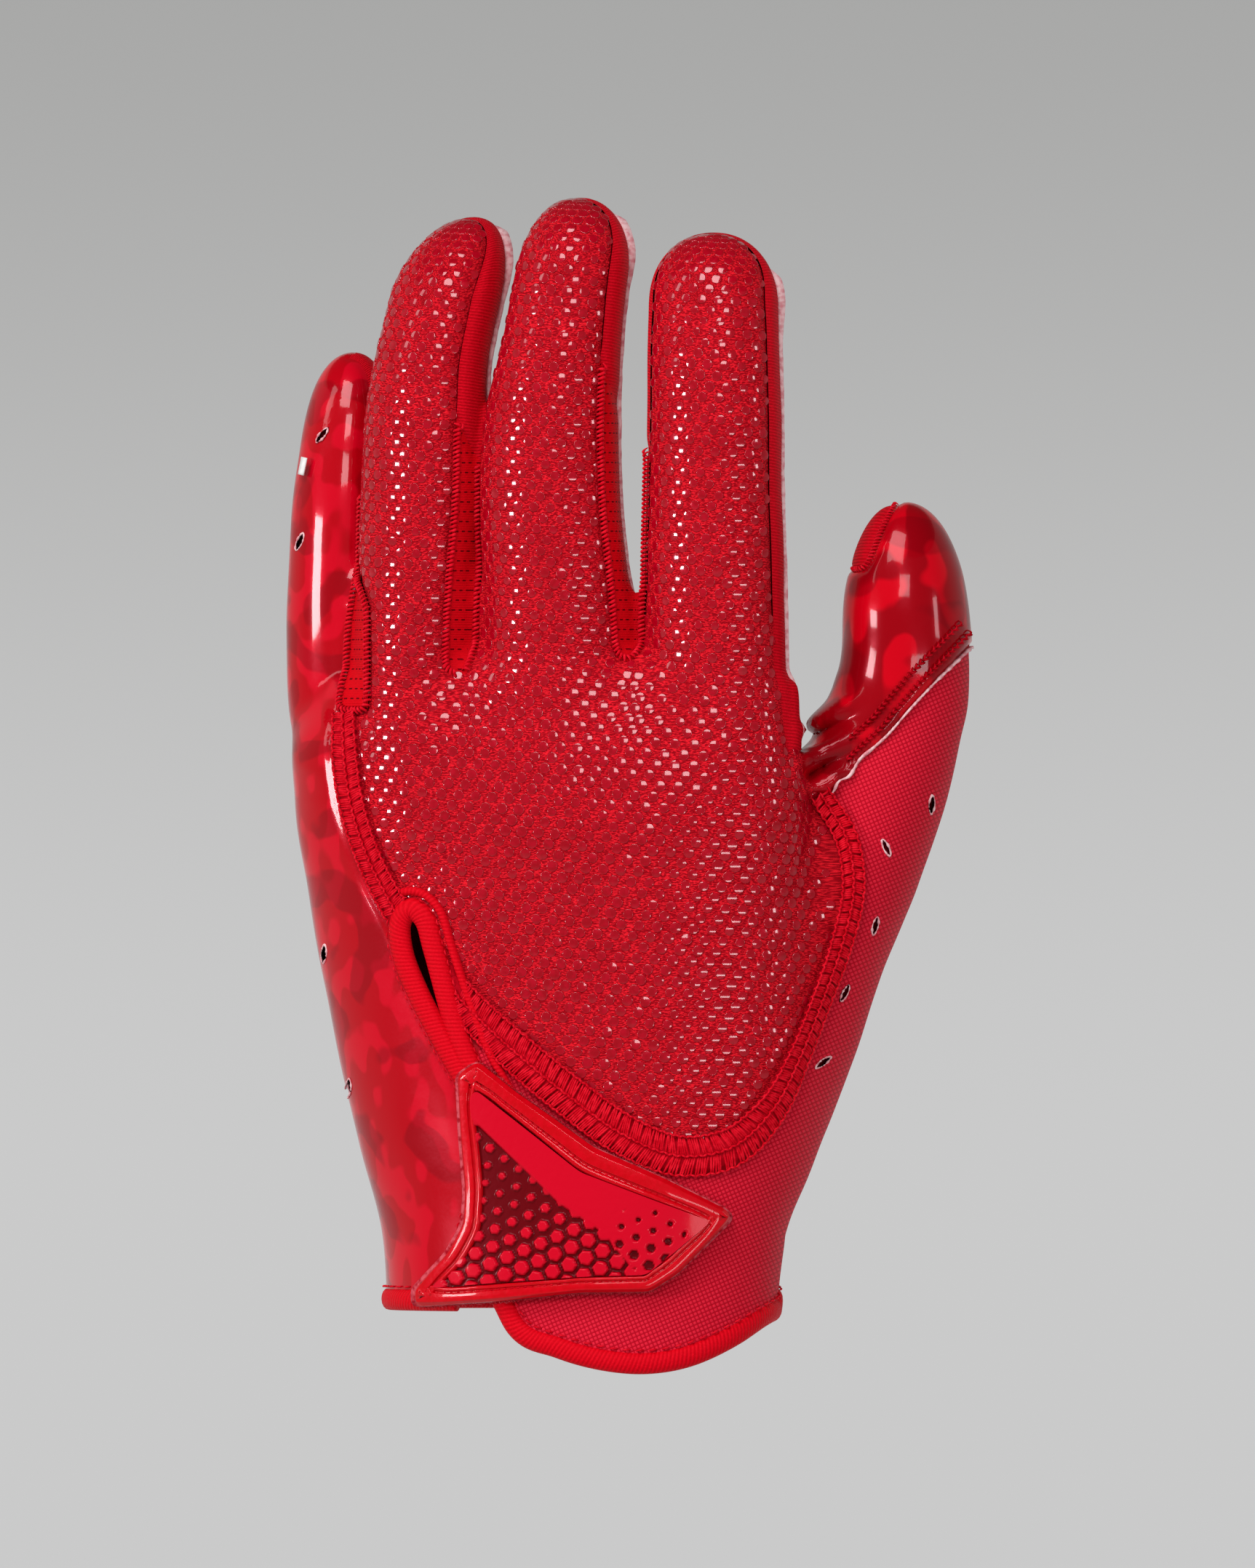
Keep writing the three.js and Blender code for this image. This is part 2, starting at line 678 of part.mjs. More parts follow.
// A gusset's region between two fingers, in front view.
function gussetTool(gusset, grow) {
  const [left, , right] = gusset.upper;
  const foot = 0.7;
  const outline = [...gusset.upper, { x: right.x, up: foot }, { x: left.x, up: foot }].map(placed);
  return prism(grown(outline, grow), -FAR, FAR);
}

// The keyhole slit and the open V that runs from it under the tab to the hem.
function slitTool(grow) {
  const line = smoothLine(KEYHOLE_LINE.map(placed), 26);
  const foot = [
    new THREE.Vector2(ACROSS(-0.158), UP(0.12)),
    new THREE.Vector2(ACROSS(-0.168), UP(-0.3)),
    new THREE.Vector2(ACROSS(-0.28), UP(-0.3)),
    new THREE.Vector2(ACROSS(-0.23), UP(0.12)),
  ];
  return prism(grown([...line, ...foot], grow), -FAR, 0).intersect(frontHalf(0));
}

// What the cloth is cut to: the line of the flap's hem in front, and level behind.
function hemTrim() {
  const clear = HEM_RADIUS;
  const edge = smoothLine(
    FLAP_EDGE.map((row) => new THREE.Vector2(ACROSS(row.x), -row.drop * HEM_DROP + clear)),
    20,
  );
  const right = new THREE.Vector2(FAR, clear);
  const left = new THREE.Vector2(ACROSS(FLAP_EDGE[0].x) - 1, clear);
  const far = [
    new THREE.Vector2(-FAR, clear),
    new THREE.Vector2(-FAR, -FAR),
    new THREE.Vector2(FAR, -FAR),
  ];
  const front = prism([...far, right, ...edge.reverse(), left], -FAR, FAR).intersect(frontHalf(0));
  const below = new THREE.BoxGeometry(4 * FAR, 4 * FAR, FAR);
  below.translate(0, 0, -FAR / 2 + clear);
  return front.add(solid(below).subtract(frontHalf(0)));
}

// The front of the turned hand at x and z, on a skin grown by grow: y of its outer surface.
function frontAt(x, z, grow, side = -1) {
  const levels = handLevels(grow);
  const upper = Math.max(1, levels.findIndex((level) => level.z >= z));
  const t = (z - levels[upper - 1].z) / (levels[upper].z - levels[upper - 1].z);
  const at = (key) => mix(levels[upper - 1][key], levels[upper][key], t);
  const turn = radians(HAND_TURN);
  let y = at("y");
  for (let step = 0; step < 40; step++) {
    const dx = x - at("x");
    const dy = y - at("y");
    const u = dx * Math.cos(turn) - dy * Math.sin(turn);
    const rest = Math.max(0, 1 - Math.abs(u / at("halfWidth")) ** at("square"));
    const v = side * at("halfDepth") * rest ** (1 / at("square"));
    const target = at("y") - u * Math.sin(turn) + v * Math.cos(turn);
    y = mix(y, target, 0.5);
  }
  return y;
}

// A tube of one radius along a line of points.
function tube(points, radius, steps, closed = false) {
  const shape = new THREE.Shape();
  shape.absellipse(0, 0, radius, radius, 0, 2 * Math.PI);
  const geometry = new THREE.ExtrudeGeometry(shape, {
    extrudePath: new THREE.CatmullRomCurve3(points, closed, "centripetal"),
    steps,
    curveSegments: 4,
    bevelEnabled: false,
  });
  return solid(geometry);
}

// The rolled hem: from the flap's corner, round the thumb's side and behind, to the palm's corner.
function hemTube(grow) {
  const wrist = handLevels(-CLOTH)[1];
  const points = [];
  for (const row of FLAP_EDGE) {
    const x = ACROSS(row.x);
    const z = -row.drop * HEM_DROP + HEM_RADIUS;
    points.push(new THREE.Vector3(x, frontAt(x, z, -CLOTH), z));
  }
  const turn = radians(HAND_TURN);
  const around = 13;
  const startAngle = 0.06;
  const endAngle = 1.28;
  for (let i = 0; i <= around; i++) {
    const angle = Math.PI * mix(startAngle, endAngle, i / around);
    const power = 2 / wrist.square;
    const u = wrist.halfWidth * Math.sign(Math.cos(angle)) * Math.abs(Math.cos(angle)) ** power;
    const v = wrist.halfDepth * Math.sign(Math.sin(angle)) * Math.abs(Math.sin(angle)) ** power;
    points.push(
      new THREE.Vector3(
        wrist.x + u * Math.cos(turn) + v * Math.sin(turn),
        wrist.y - u * Math.sin(turn) + v * Math.cos(turn),
        HEM_RADIUS,
      ),
    );
  }
  return tube(points, HEM_RADIUS + grow, 32);
}

// The rolled binding round the keyhole slit.
function keyholeTube(grow) {
  const points = KEYHOLE_LINE.map((row) => {
    const { x, y: z } = placed(row);
    return new THREE.Vector3(x, frontAt(x, z, -CLOTH / 2) - KEYHOLE_RADIUS / 3, z);
  });
  return tube(points, KEYHOLE_RADIUS + grow, 24);
}

// The closure tab's outline in front view, moved outwards by a distance.
function tabOutline(distance, rows = TAB_OUTLINE) {
  const corner = placed(TAB_PLACE);
  const outline = rows.map(
    (row) => new THREE.Vector2(corner.x + row.along * TAB_LENGTH, corner.y + row.up * TAB_HEIGHT),
  );
  return grown(outline, distance);
}

// A layer over the wrist between two heights above the cloth, cut to an outline.
function layer(outline, low, high) {
  const sheet = handSkin(high).subtract(handSkin(low));
  return sheet.intersect(prism(outline, -FAR, 0)).intersect(frontHalf(0));
}

// Raised six-sided cells on a slanting grid, largest along the lower edge.
function hexCells() {
  const corner = placed(TAB_PLACE);
  const field = tabOutline(-HEX_SMALLEST, INLAY_OUTLINE);
  const smooth = tabOutline(0, SMOOTH_FIELD);
  const inside = (p, outline) => {
    let odd = false;
    outline.forEach((a, i) => {
      const b = outline[(i + 1) % outline.length];
      if (a.y > p.y !== b.y > p.y && p.x < ((b.x - a.x) * (p.y - a.y)) / (b.y - a.y) + a.x) {
        odd = !odd;
      }
    });
    return odd;
  };
  const slant = radians(-37);
  const reach = Math.ceil(Math.max(TAB_LENGTH, TAB_HEIGHT) / HEX_PITCH);
  const cells = [];
  for (let row = -reach; row <= reach; row++) {
    for (let column = -reach; column <= reach; column++) {
      const a = (column + (row % 2) / 2) * HEX_PITCH;
      const b = row * HEX_PITCH * Math.sqrt(0.75);
      const p = new THREE.Vector2(
        corner.x + 0.45 * TAB_LENGTH + a * Math.cos(slant) - b * Math.sin(slant),
        corner.y + 0.3 * TAB_HEIGHT + a * Math.sin(slant) + b * Math.cos(slant),
      );
      if (!inside(p, field) || inside(p, smooth)) {
        continue;
      }
      const along = (p.x - corner.x) / TAB_LENGTH;
      const up = (p.y - corner.y) / TAB_HEIGHT;
      const share = Math.min(1, Math.hypot((along - 0.26) / 0.42, (up - 0.46) / 0.36));
      const radius = mix(HEX_SMALLEST, HEX_LARGEST, share);
      const hexagon = [];
      for (let k = 0; k < 6; k++) {
        const angle = slant + (Math.PI / 3) * (k + 0.5);
        hexagon.push(
          new THREE.Vector2(p.x + radius * Math.cos(angle), p.y + radius * Math.sin(angle)),
        );
      }
      cells.push(prism(hexagon, -FAR, 0));
    }
  }
  return joined(cells);
}

// A slit vent's tool, through the front of the glove only.
function ventTool(vent) {
  const { x, y } = placed(vent);
  const lean = radians(vent.lean);
  const outline = [-1, -0.4, 0.4, 1, 0.4, -0.4].map((along, k) => {
    const wide = k === 0 || k === 3 ? 0 : k < 3 ? -1 : 1;
    const a = (along * VENT_LENGTH) / 2;
    const b = (wide * VENT_WIDTH) / 2;
    return new THREE.Vector2(
      x + a * Math.cos(lean) - b * Math.sin(lean),
      y + a * Math.sin(lean) + b * Math.cos(lean),
    );
  });
  return prism(outline, -FAR, FAR).intersect(frontHalf(0));
}

// The panels, cut one after another out of the shell.
const panels = {};
let shell = gloveSkin(0).subtract(gloveSkin(-CLOTH)).subtract(hemTrim());

const bindingRoom = hemTube(SEAM_GAP).add(keyholeTube(SEAM_GAP));
const slit = slitTool(0).add(bindingRoom);
shell = shell.subtract(slit);

const bandCut = prism(bandOutline(0), -FAR, FAR).intersect(frontHalf(0));
const bandRoom = prism(bandOutline(SEAM_GAP), -FAR, FAR).intersect(frontHalf(SEAM_GAP));
const bandSkin = gloveSkin(BAND_PROUD).subtract(gloveSkin(-CLOTH)).subtract(slit);
const stripAll = (grow) => joined(digits.map((digit) => stripTool(digit, grow)));
const bands = bandSkin.intersect(bandCut).subtract(stripAll(SEAM_GAP)).decompose();
bands.sort((one, other) => other.volume() - one.volume());
panels.stitch_band = bands[0];
panels.stitch_band_side = bands[1];
shell = shell.subtract(bandRoom);

const strips = shell.intersect(stripAll(0));
shell = shell.subtract(stripAll(SEAM_GAP));
const gussetRoom = joined(GUSSETS.map((gusset) => gussetTool(gusset, SEAM_GAP)));
for (const gusset of GUSSETS) {
  panels[gusset.name] = mainBody(strips.intersect(gussetTool(gusset, 0)));
}
const stripRest = strips.subtract(gussetRoom);
for (const digit of digits) {
  panels[`side_${digit.name}`] = mainBody(stripRest.intersect(stripTool(digit, -0.02)));
}

const dorsal = ["ring", "middle", "index"].map(digitNamed);
const backCut = prism(backOutline(0), -FAR, FAR)
  .intersect(frontHalf(0))
  .add(joined(dorsal.map((digit) => dorsalTool(digit, 0))));
const backRoom = prism(backOutline(SEAM_GAP), -FAR, FAR)
  .intersect(frontHalf(SEAM_GAP))
  .add(joined(dorsal.map((digit) => dorsalTool(digit, -SEAM_GAP))));
panels.back_panel = mainBody(shell.intersect(backCut));
shell = shell.subtract(backRoom);

const wrapLine = WRAP_SEAM.map(placed);
const wrapOutline = (grow) =>
  grown(
    [...wrapLine, new THREE.Vector2(ACROSS(1), UP(1.4)), new THREE.Vector2(ACROSS(0.4), UP(1.4))],
    grow,
  );
panels.thumb_wrap = mainBody(shell.intersect(prism(wrapOutline(0), -FAR, FAR)));
shell = shell.subtract(prism(wrapOutline(SEAM_GAP), -FAR, FAR));

const wovenFront = (grow) =>
  prism(
    grown(
      [
        new THREE.Vector2(ACROSS(-0.2), UP(-0.4)),
        new THREE.Vector2(ACROSS(1), UP(-0.4)),
        new THREE.Vector2(ACROSS(1), UP(1.2)),
        new THREE.Vector2(ACROSS(0.44), UP(0.9)),
        new THREE.Vector2(ACROSS(0.2), UP(0.3)),
        new THREE.Vector2(ACROSS(-0.2), UP(0.44)),
      ],
      grow,
    ),
    -FAR,
    FAR,
  ).intersect(frontHalf(grow));
const wovenRight = (grow) =>
  prism(
    grown(
      [
        ...THENAR_SEAM.map(placed),
        new THREE.Vector2(ACROSS(0.44), UP(1.1)),
        new THREE.Vector2(ACROSS(1), UP(1.2)),
        new THREE.Vector2(ACROSS(1), UP(-0.2)),
      ],
      grow,
    ),
    -FAR,
    FAR,
  );
panels.thumb_panel = mainBody(shell.intersect(wovenFront(0).add(wovenRight(0))));
shell = shell.subtract(wovenFront(SEAM_GAP).add(wovenRight(SEAM_GAP)));
panels.palm = mainBody(shell);
for (const vent of VENTS) {
  panels[vent.panel] = panels[vent.panel].subtract(ventTool(vent));
}
panels.palm = mainBody(panels.palm);
panels.thumb_panel = mainBody(panels.thumb_panel);

panels.hem_binding = hemTube(0);
const backingTop = SEAM_GAP + TAB_BACKING;
const tabFoot = backingTop + SEAM_GAP;
const tabFace = tabFoot + TAB_FLOOR + TAB_RELIEF;
const tabInner = tabOutline(0, INLAY_OUTLINE);
panels.keyhole_binding = mainBody(keyholeTube(0).subtract(prism(tabOutline(SEAM_GAP), -FAR, FAR)));
const bandRise = gloveSkin(BAND_PROUD + SEAM_GAP).intersect(bandRoom);
const underTab = layer(tabOutline(0.4), SEAM_GAP, backingTop);
panels.tab_backing = mainBody(underTab.subtract(bandRise).subtract(bindingRoom));
const rimRing = layer(tabOutline(0), tabFoot, tabFace + RIM_RISE).subtract(
  prism(grown(tabInner, SEAM_GAP), -FAR, FAR),
);
panels.tab_rim = mainBody(rimRing.subtract(bindingRoom));
const inlayFloor = layer(tabInner, tabFoot, tabFoot + TAB_FLOOR);
const inlayTop = layer(tabInner, tabFoot, tabFace);
const raised = hexCells().add(prism(tabOutline(0, SMOOTH_FIELD), -FAR, 0));
panels.tab_inlay = mainBody(inlayFloor.add(inlayTop.intersect(raised)));

// Colour, roughness and metalness of each finish.
const finish = (color, roughness) => new THREE.MeshStandardMaterial({ color, roughness, metalness: 0 });
const FINISHES = {
  grip: finish(0xc8102a, 0.12),
  knit: finish(0xb50f28, 0.75),
  rib: finish(0xb41022, 0.85),
  gusset: finish(0xc40f1e, 0.8),
  woven: finish(0xc41a30, 0.8),
  thread: finish(0xcb1f2c, 0.7),
  binding: finish(0xd0121c, 0.7),
  moulded: finish(0xc8060f, 0.2),
  inlay: finish(0xc60c20, 0.45),
  hook: finish(0xb8202c, 0.95),
};
const FINISH_OF = {
  palm: "grip",
  thumb_wrap: "grip",
  back_panel: "knit",
  stitch_band: "thread",
  stitch_band_side: "thread",
  thumb_panel: "woven",
  hem_binding: "binding",
  keyhole_binding: "binding",
  tab_backing: "hook",
  tab_rim: "moulded",
  tab_inlay: "inlay",
};

const glove = new THREE.Group();
for (const [name, made] of Object.entries(panels)) {
  const kind = FINISH_OF[name] ?? (name.startsWith("gusset") ? "gusset" : "rib");
  const mesh = new THREE.Mesh(geometryOf(made), FINISHES[kind]);
  mesh.name = name;
  glove.add(mesh);
}

export default glove;
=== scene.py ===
"""A left-hand receiver glove, filled out as when it is worn, built over its CAD frame.

The glove's outside is one smooth soft form, worked out from tables of sections, then cut along
its seams into the sewn panels. Threads, bindings, vents and the closure tab are laid on it.
Lengths are in millimetres until a mesh is made, and in metres from then on.
"""

from __future__ import annotations

import logging
import math
from dataclasses import dataclass, field
from enum import Enum
from typing import Callable, Iterable, NamedTuple, Sequence, Union

import bpy
import numpy as np
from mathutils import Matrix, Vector


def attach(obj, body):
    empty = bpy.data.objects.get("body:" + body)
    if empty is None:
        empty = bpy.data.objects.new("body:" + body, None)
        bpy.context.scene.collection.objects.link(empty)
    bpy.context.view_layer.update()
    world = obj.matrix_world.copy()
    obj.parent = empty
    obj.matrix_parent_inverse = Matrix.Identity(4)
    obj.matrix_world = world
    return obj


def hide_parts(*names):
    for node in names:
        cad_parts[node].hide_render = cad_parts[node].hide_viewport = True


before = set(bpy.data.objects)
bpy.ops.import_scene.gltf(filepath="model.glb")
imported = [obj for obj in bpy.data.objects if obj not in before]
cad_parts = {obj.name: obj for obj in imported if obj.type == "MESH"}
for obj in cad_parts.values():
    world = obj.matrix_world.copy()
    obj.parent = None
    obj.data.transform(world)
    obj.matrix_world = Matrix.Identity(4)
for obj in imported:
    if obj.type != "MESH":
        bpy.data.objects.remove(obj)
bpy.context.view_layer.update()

LOG = logging.getLogger("glove")
MM = 0.001
BODY = "root"
SEED = 7
Sizes = Union[float, np.ndarray]

# Hand sizes, as in the CAD part
PALM_LENGTH = 125.0
PALM_BREADTH = 100.0
PALM_DEPTH = 36.0
WRIST_BREADTH = 75.0
WRIST_DEPTH = 45.0
HAND_TURN = 13.0
HAND_CAP = 0.07
FINGER_BREADTH = 25.0
FINGER_DEPTH = 20.5
THUMB_FORK = 0.836
THUMB_LENGTH = 51.0
THUMB_BREADTH = 25.0
THUMB_DEPTH = 24.0

# Cloth, seams and trims
CLOTH = 1.3
SIDE_STRIP = 9.4
STRIP_RISE = 5.9
TIP_DROP = 3.0
BAND_WIDTH = 7.4
HEM_RADIUS = 1.9
HEM_DROP = 12.0
KEYHOLE_RADIUS = 2.0
HEM_ROLL = (2.1, 1.35)
KEYHOLE_ROLL = (KEYHOLE_RADIUS * 1.12, KEYHOLE_RADIUS * 0.85)
PIPING_RADIUS = 0.85
PIPING_BESIDE = 3.4
TAB_LENGTH = 60.5
TAB_HEIGHT = 47.5
TAB_LIFT = 2.3

# Heights over the wrist; the knit passes from the hand's rows to the fingers' from the first, over the second
KNUCKLE_LEVEL = 112.0
GUSSET_FOOT = 87.5
WEB_LEVEL = 150.0
KNIT_MIX = (104.0, 26.0)

# Fineness
SKIN_STEP = 0.8
LINING_STEP = 1.7
SEARCH_BOX = ((-62, -32, -16), (80, 36, 220))

# Half the length over which the field's slope is measured, and how often a search is halved
PROBE = 0.3
HALVINGS = 26

# How softly the limbs run into each other
THUMB_FILLET = 7.0
KNUCKLE_FILLET = 5.0
FORK_FILLET = 1.2
WEB_FILLET = 5.0
WEB_FADE = 14.0


class HandRow(NamedTuple):
    """A level of the hand's body: shares of the palm's length, breadth and depth."""

    up: float
    left: float
    right: float
    depth: float
    set: float
    square: float
    wrist: float


class LimbRow(NamedTuple):
    """A level of a finger or the thumb: shares of its length, the palm and its own breadth."""

    at: float
    x: float
    y: float
    wide: float
    deep: float


class SeamRow(NamedTuple):
    """A point of a seam in front view: shares of the palm's breadth and length."""

    x: float
    up: float
    wide: float = 1.0


HAND_ROWS = (
    HandRow(-0.17, -0.487, 0.493, 1.0, 0.02, 2.3, 1),
    HandRow(0.0, -0.496, 0.496, 1.0, 0.02, 2.3, 1),
    HandRow(0.115, -0.509, 0.509, 0.96, 0.02, 2.3, 1),
    HandRow(0.25, -0.425, 0.42, 1.14, 0.03, 2.3, 0),
    HandRow(0.385, -0.466, 0.44, 1.1, 0.04, 2.3, 0),
    HandRow(0.52, -0.5, 0.44, 1.06, 0.05, 2.3, 0),
    HandRow(0.655, -0.53, 0.435, 1.0, 0.04, 2.3, 0),
    HandRow(0.79, -0.553, 0.43, 0.92, 0.02, 2.35, 0),
    HandRow(0.88, -0.545, 0.408, 0.8, 0.01, 2.4, 0),
    HandRow(0.95, -0.485, 0.4, 0.67, 0.0, 2.5, 0),
)


@dataclass(frozen=True)
class DigitTable:
    """Sizes of one finger or the thumb.

    Args:
        name: the finger's name.
        root: height of its root over the wrist.
        length: from the root to the tip.
        breadth: breadth that its rows take shares of.
        depth: depth that its rows take shares of.
        roll: degrees that its back is turned.
        tip: where the tip lies, as shares of the palm's breadth and depth.
        starts: height where the knitted strip starts on its left and right sides.
        seam: height of the strip's upper seam there, as shares of STRIP_RISE.
        rows: its levels.
    """

    name: str
    root: float
    length: float
    breadth: float
    depth: float
    roll: float
    tip: tuple[float, float]
    starts: tuple[float, float]
    seam: tuple[float, float]
    rows: tuple[LimbRow, ...]


FINGERS = (
    DigitTable(
        "little", PALM_LENGTH, 60.6, FINGER_BREADTH, FINGER_DEPTH, 25, (-0.445, 0.64), (400, 110), (1, 1),
        (
            LimbRow(-0.56, -0.405, 0.28, 0.72, 0.85),
            LimbRow(-0.16, -0.464, 0.43, 0.84, 0.9),
            LimbRow(0.08, -0.472, 0.5, 0.82, 0.89),
            LimbRow(0.34, -0.471, 0.53, 0.79, 0.88),
            LimbRow(0.56, -0.464, 0.55, 0.76, 0.86),
            LimbRow(0.7, -0.458, 0.575, 0.72, 0.84),
        ),
    ),
    DigitTable(
        "ring", PALM_LENGTH, 86.8, FINGER_BREADTH, FINGER_DEPTH, 25, (-0.213, 0.3), (112, 123),
        (0.42, 1.14),
        (
            LimbRow(-0.35, -0.31, 0.08, 0.9, 1),
            LimbRow(0.02, -0.323, 0.12, 0.92, 1),
            LimbRow(0.17, -0.318, 0.12, 0.93, 1),
            LimbRow(0.35, -0.309, 0.125, 0.98, 0.99),
            LimbRow(0.54, -0.302, 0.13, 0.96, 0.98),
            LimbRow(0.67, -0.292, 0.15, 0.91, 0.96),
            LimbRow(0.8, -0.267, 0.19, 0.89, 0.92),
        ),
    ),
    DigitTable(
        "middle", PALM_LENGTH, 90.4, FINGER_BREADTH, FINGER_DEPTH, 15, (-0.007, 0.12), (123, 123),
        (0.33, 1),
        (
            LimbRow(-0.35, -0.045, -0.06, 1.12, 1),
            LimbRow(0.02, -0.047, -0.06, 1.2, 1.02),
            LimbRow(0.16, -0.05, -0.07, 1.15, 1.02),
            LimbRow(0.32, -0.062, -0.075, 1.12, 1),
            LimbRow(0.52, -0.06, -0.07, 1.06, 0.98),
            LimbRow(0.68, -0.041, -0.05, 0.94, 0.95),
            LimbRow(0.83, -0.021, -0.01, 0.89, 0.9),
        ),
    ),
    DigitTable(
        "index", PALM_LENGTH, 83.5, FINGER_BREADTH, FINGER_DEPTH, 17, (0.252, -0.07), (123, 108),
        (0.8, 0.62),
        (
            LimbRow(-0.35, 0.262, -0.18, 1.08, 1),
            LimbRow(0.02, 0.259, -0.2, 1.1, 1.03),
            LimbRow(0.2, 0.256, -0.21, 1.1, 1.03),
            LimbRow(0.38, 0.255, -0.22, 1.07, 1),
            LimbRow(0.58, 0.256, -0.22, 1.05, 0.98),
            LimbRow(0.72, 0.255, -0.2, 1.04, 0.95),
            LimbRow(0.83, 0.254, -0.16, 1.02, 0.9),
        ),
    ),
)
THUMB = DigitTable(
    "thumb", PALM_LENGTH * THUMB_FORK, THUMB_LENGTH, THUMB_BREADTH, THUMB_DEPTH, HAND_TURN,
    (0.622, 0.09), (400, 400), (1, 1),
    (
        LimbRow(-1.77, 0.2, 0.06, 1.36, 1.42),
        LimbRow(-1.44, 0.266, 0.09, 1.53, 1.42),
        LimbRow(-1.11, 0.338, 0.12, 1.49, 1.4),
        LimbRow(-0.77, 0.409, 0.14, 1.38, 1.36),
        LimbRow(-0.44, 0.489, 0.14, 1.3, 1.3),
        LimbRow(-0.22, 0.535, 0.13, 1.24, 1.22),
        LimbRow(0.0, 0.573, 0.11, 1.18, 1.13),
        LimbRow(0.12, 0.594, 0.1, 1.12, 1.08),
        LimbRow(0.23, 0.61, 0.09, 1.08, 1.03),
        LimbRow(0.34, 0.624, 0.08, 1, 0.98),
        LimbRow(0.45, 0.63, 0.07, 0.95, 0.95),
        LimbRow(0.56, 0.629, 0.065, 0.92, 0.92),
    ),
)

BAND_LINE = (
    SeamRow(-0.462, 0.925, 0.62),
    SeamRow(-0.458, 0.85, 0.7),
    SeamRow(-0.444, 0.778, 0.7),
    SeamRow(-0.411, 0.698, 0.7),
    SeamRow(-0.369, 0.631, 0.72),
    SeamRow(-0.296, 0.541, 0.8),
    SeamRow(-0.204, 0.456, 0.9),
    SeamRow(-0.113, 0.389, 0.98),
    SeamRow(-0.014, 0.325, 1),
    SeamRow(0.085, 0.27, 1),
    SeamRow(0.19, 0.239, 1),
    SeamRow(0.285, 0.251, 0.98),
    SeamRow(0.366, 0.31, 0.8),
    SeamRow(0.42, 0.394, 0.64),
    SeamRow(0.462, 0.479, 0.6),
    SeamRow(0.5, 0.563, 0.58),
    SeamRow(0.525, 0.659, 0.56),
    SeamRow(0.511, 0.732, 0.56),
    SeamRow(0.462, 0.795, 0.52),
)
KEYHOLE_LINE = (
    SeamRow(-0.175, 0.27),
    SeamRow(-0.225, 0.338),
    SeamRow(-0.282, 0.417),
    SeamRow(-0.327, 0.496),
    SeamRow(-0.352, 0.563),
    SeamRow(-0.352, 0.606),
    SeamRow(-0.332, 0.625),
    SeamRow(-0.306, 0.612),
    SeamRow(-0.286, 0.565),
    SeamRow(-0.264, 0.51),
    SeamRow(-0.238, 0.45),
    SeamRow(-0.205, 0.383),
    SeamRow(-0.16, 0.32),
)
KEYHOLE_FOOT = (SeamRow(-0.158, 0.12), SeamRow(-0.168, -0.3), SeamRow(-0.28, -0.3), SeamRow(-0.23, 0.12))
WRAP_SEAM = (
    SeamRow(0.4, 0.8),
    SeamRow(0.445, 0.793),
    SeamRow(0.479, 0.797),
    SeamRow(0.513, 0.827),
    SeamRow(0.552, 0.86),
    SeamRow(0.59, 0.888),
    SeamRow(0.63, 0.926),
    SeamRow(0.677, 0.968),
    SeamRow(0.76, 1.035),
)
THENAR_SEAM = (
    SeamRow(0.2, -0.2),
    SeamRow(0.22, 0.2),
    SeamRow(0.3, 0.45),
    SeamRow(0.4, 0.7),
    SeamRow(0.44, 0.84),
)
WOVEN_FRONT = (
    SeamRow(-0.2, -0.4),
    SeamRow(1.0, -0.4),
    SeamRow(1.0, 1.2),
    SeamRow(0.44, 0.9),
    SeamRow(0.2, 0.3),
    SeamRow(-0.2, 0.44),
)
GUSSETS = {
    "gusset_little_ring": (SeamRow(-0.5, 1.2), SeamRow(-0.41, 1.27), SeamRow(-0.33, 1.3)),
    "gusset_ring_middle": (SeamRow(-0.285, 1.445), SeamRow(-0.19, 1.3), SeamRow(-0.05, 1.26)),
    "gusset_middle_index": (SeamRow(0.005, 1.53), SeamRow(0.095, 1.36), SeamRow(0.26, 1.2)),
}
# Lower edge of the front flap: x as a share of the breadth, up as a share of the hem's drop.
FLAP_EDGE = (
    SeamRow(-0.168, -0.12),
    SeamRow(-0.13, 0.4),
    SeamRow(-0.048, 0.74),
    SeamRow(0.045, 0.95),
    SeamRow(0.12, 1),
    SeamRow(0.2, 0.9),
    SeamRow(0.29, 0.58),
    SeamRow(0.366, 0.2),
)

# Slit vents: x and up as shares of the palm, and lean in degrees.
VENTS = (
    (0.676, 0.782, 86),
    (0.588, 0.715, 115),
    (0.567, 0.594, 76),
    (0.507, 0.49, 62),
    (0.466, 0.383, 35),
    (-0.504, 1.355, 52),
    (-0.548, 1.19, 68),
    (-0.5, 0.55, 84),
    (-0.452, 0.342, 84),
)
VENT_LENGTH = 4.2
VENT_WIDTH = 1.15
TAG_PLACE = (-54.2, 163.4)
TAG_SIZE = (1.6, 3.4)

# The gusset's face between the little and ring fingers: its right edge, which leans over above the taper
FORK_EDGE = -41.6
FORK_TAPER = 136.0
FORK_SLOPE = 0.35
FORK_LOW = 116.0

# Folds in the fork of the thumb
FOLD_PLACE = (47.0, 108.0)
FOLD_REACH = (7.5, 9.0, 10.0)
FOLD_LEAN = 24.0
FOLD_PITCH = 6.2
FOLD_RISE = 3.5

# Scallops of the thumb wrap's edge: rise, radians in a millimetre, and where they have faded out
SCALLOP_RISE = 1.3
SCALLOP_TURN = 1.3
SCALLOP_END = 57.0

# The wrap's two rows of stitches: distance from its edge, and where they run
WRAP_ROWS = (1.9, 4.4)
WRAP_ROW_SPAN = (51.5, 76.0)

# The ribbed piece beside the thumb's tip, in front view
TIP_RIB = (
    (61.8, 156.4), (59.8, 153.8), (57.8, 149.7), (56.2, 145.2), (55.0, 143.2), (52.0, 143.2), (52.0, 152.0),
    (57.0, 158.0),
)

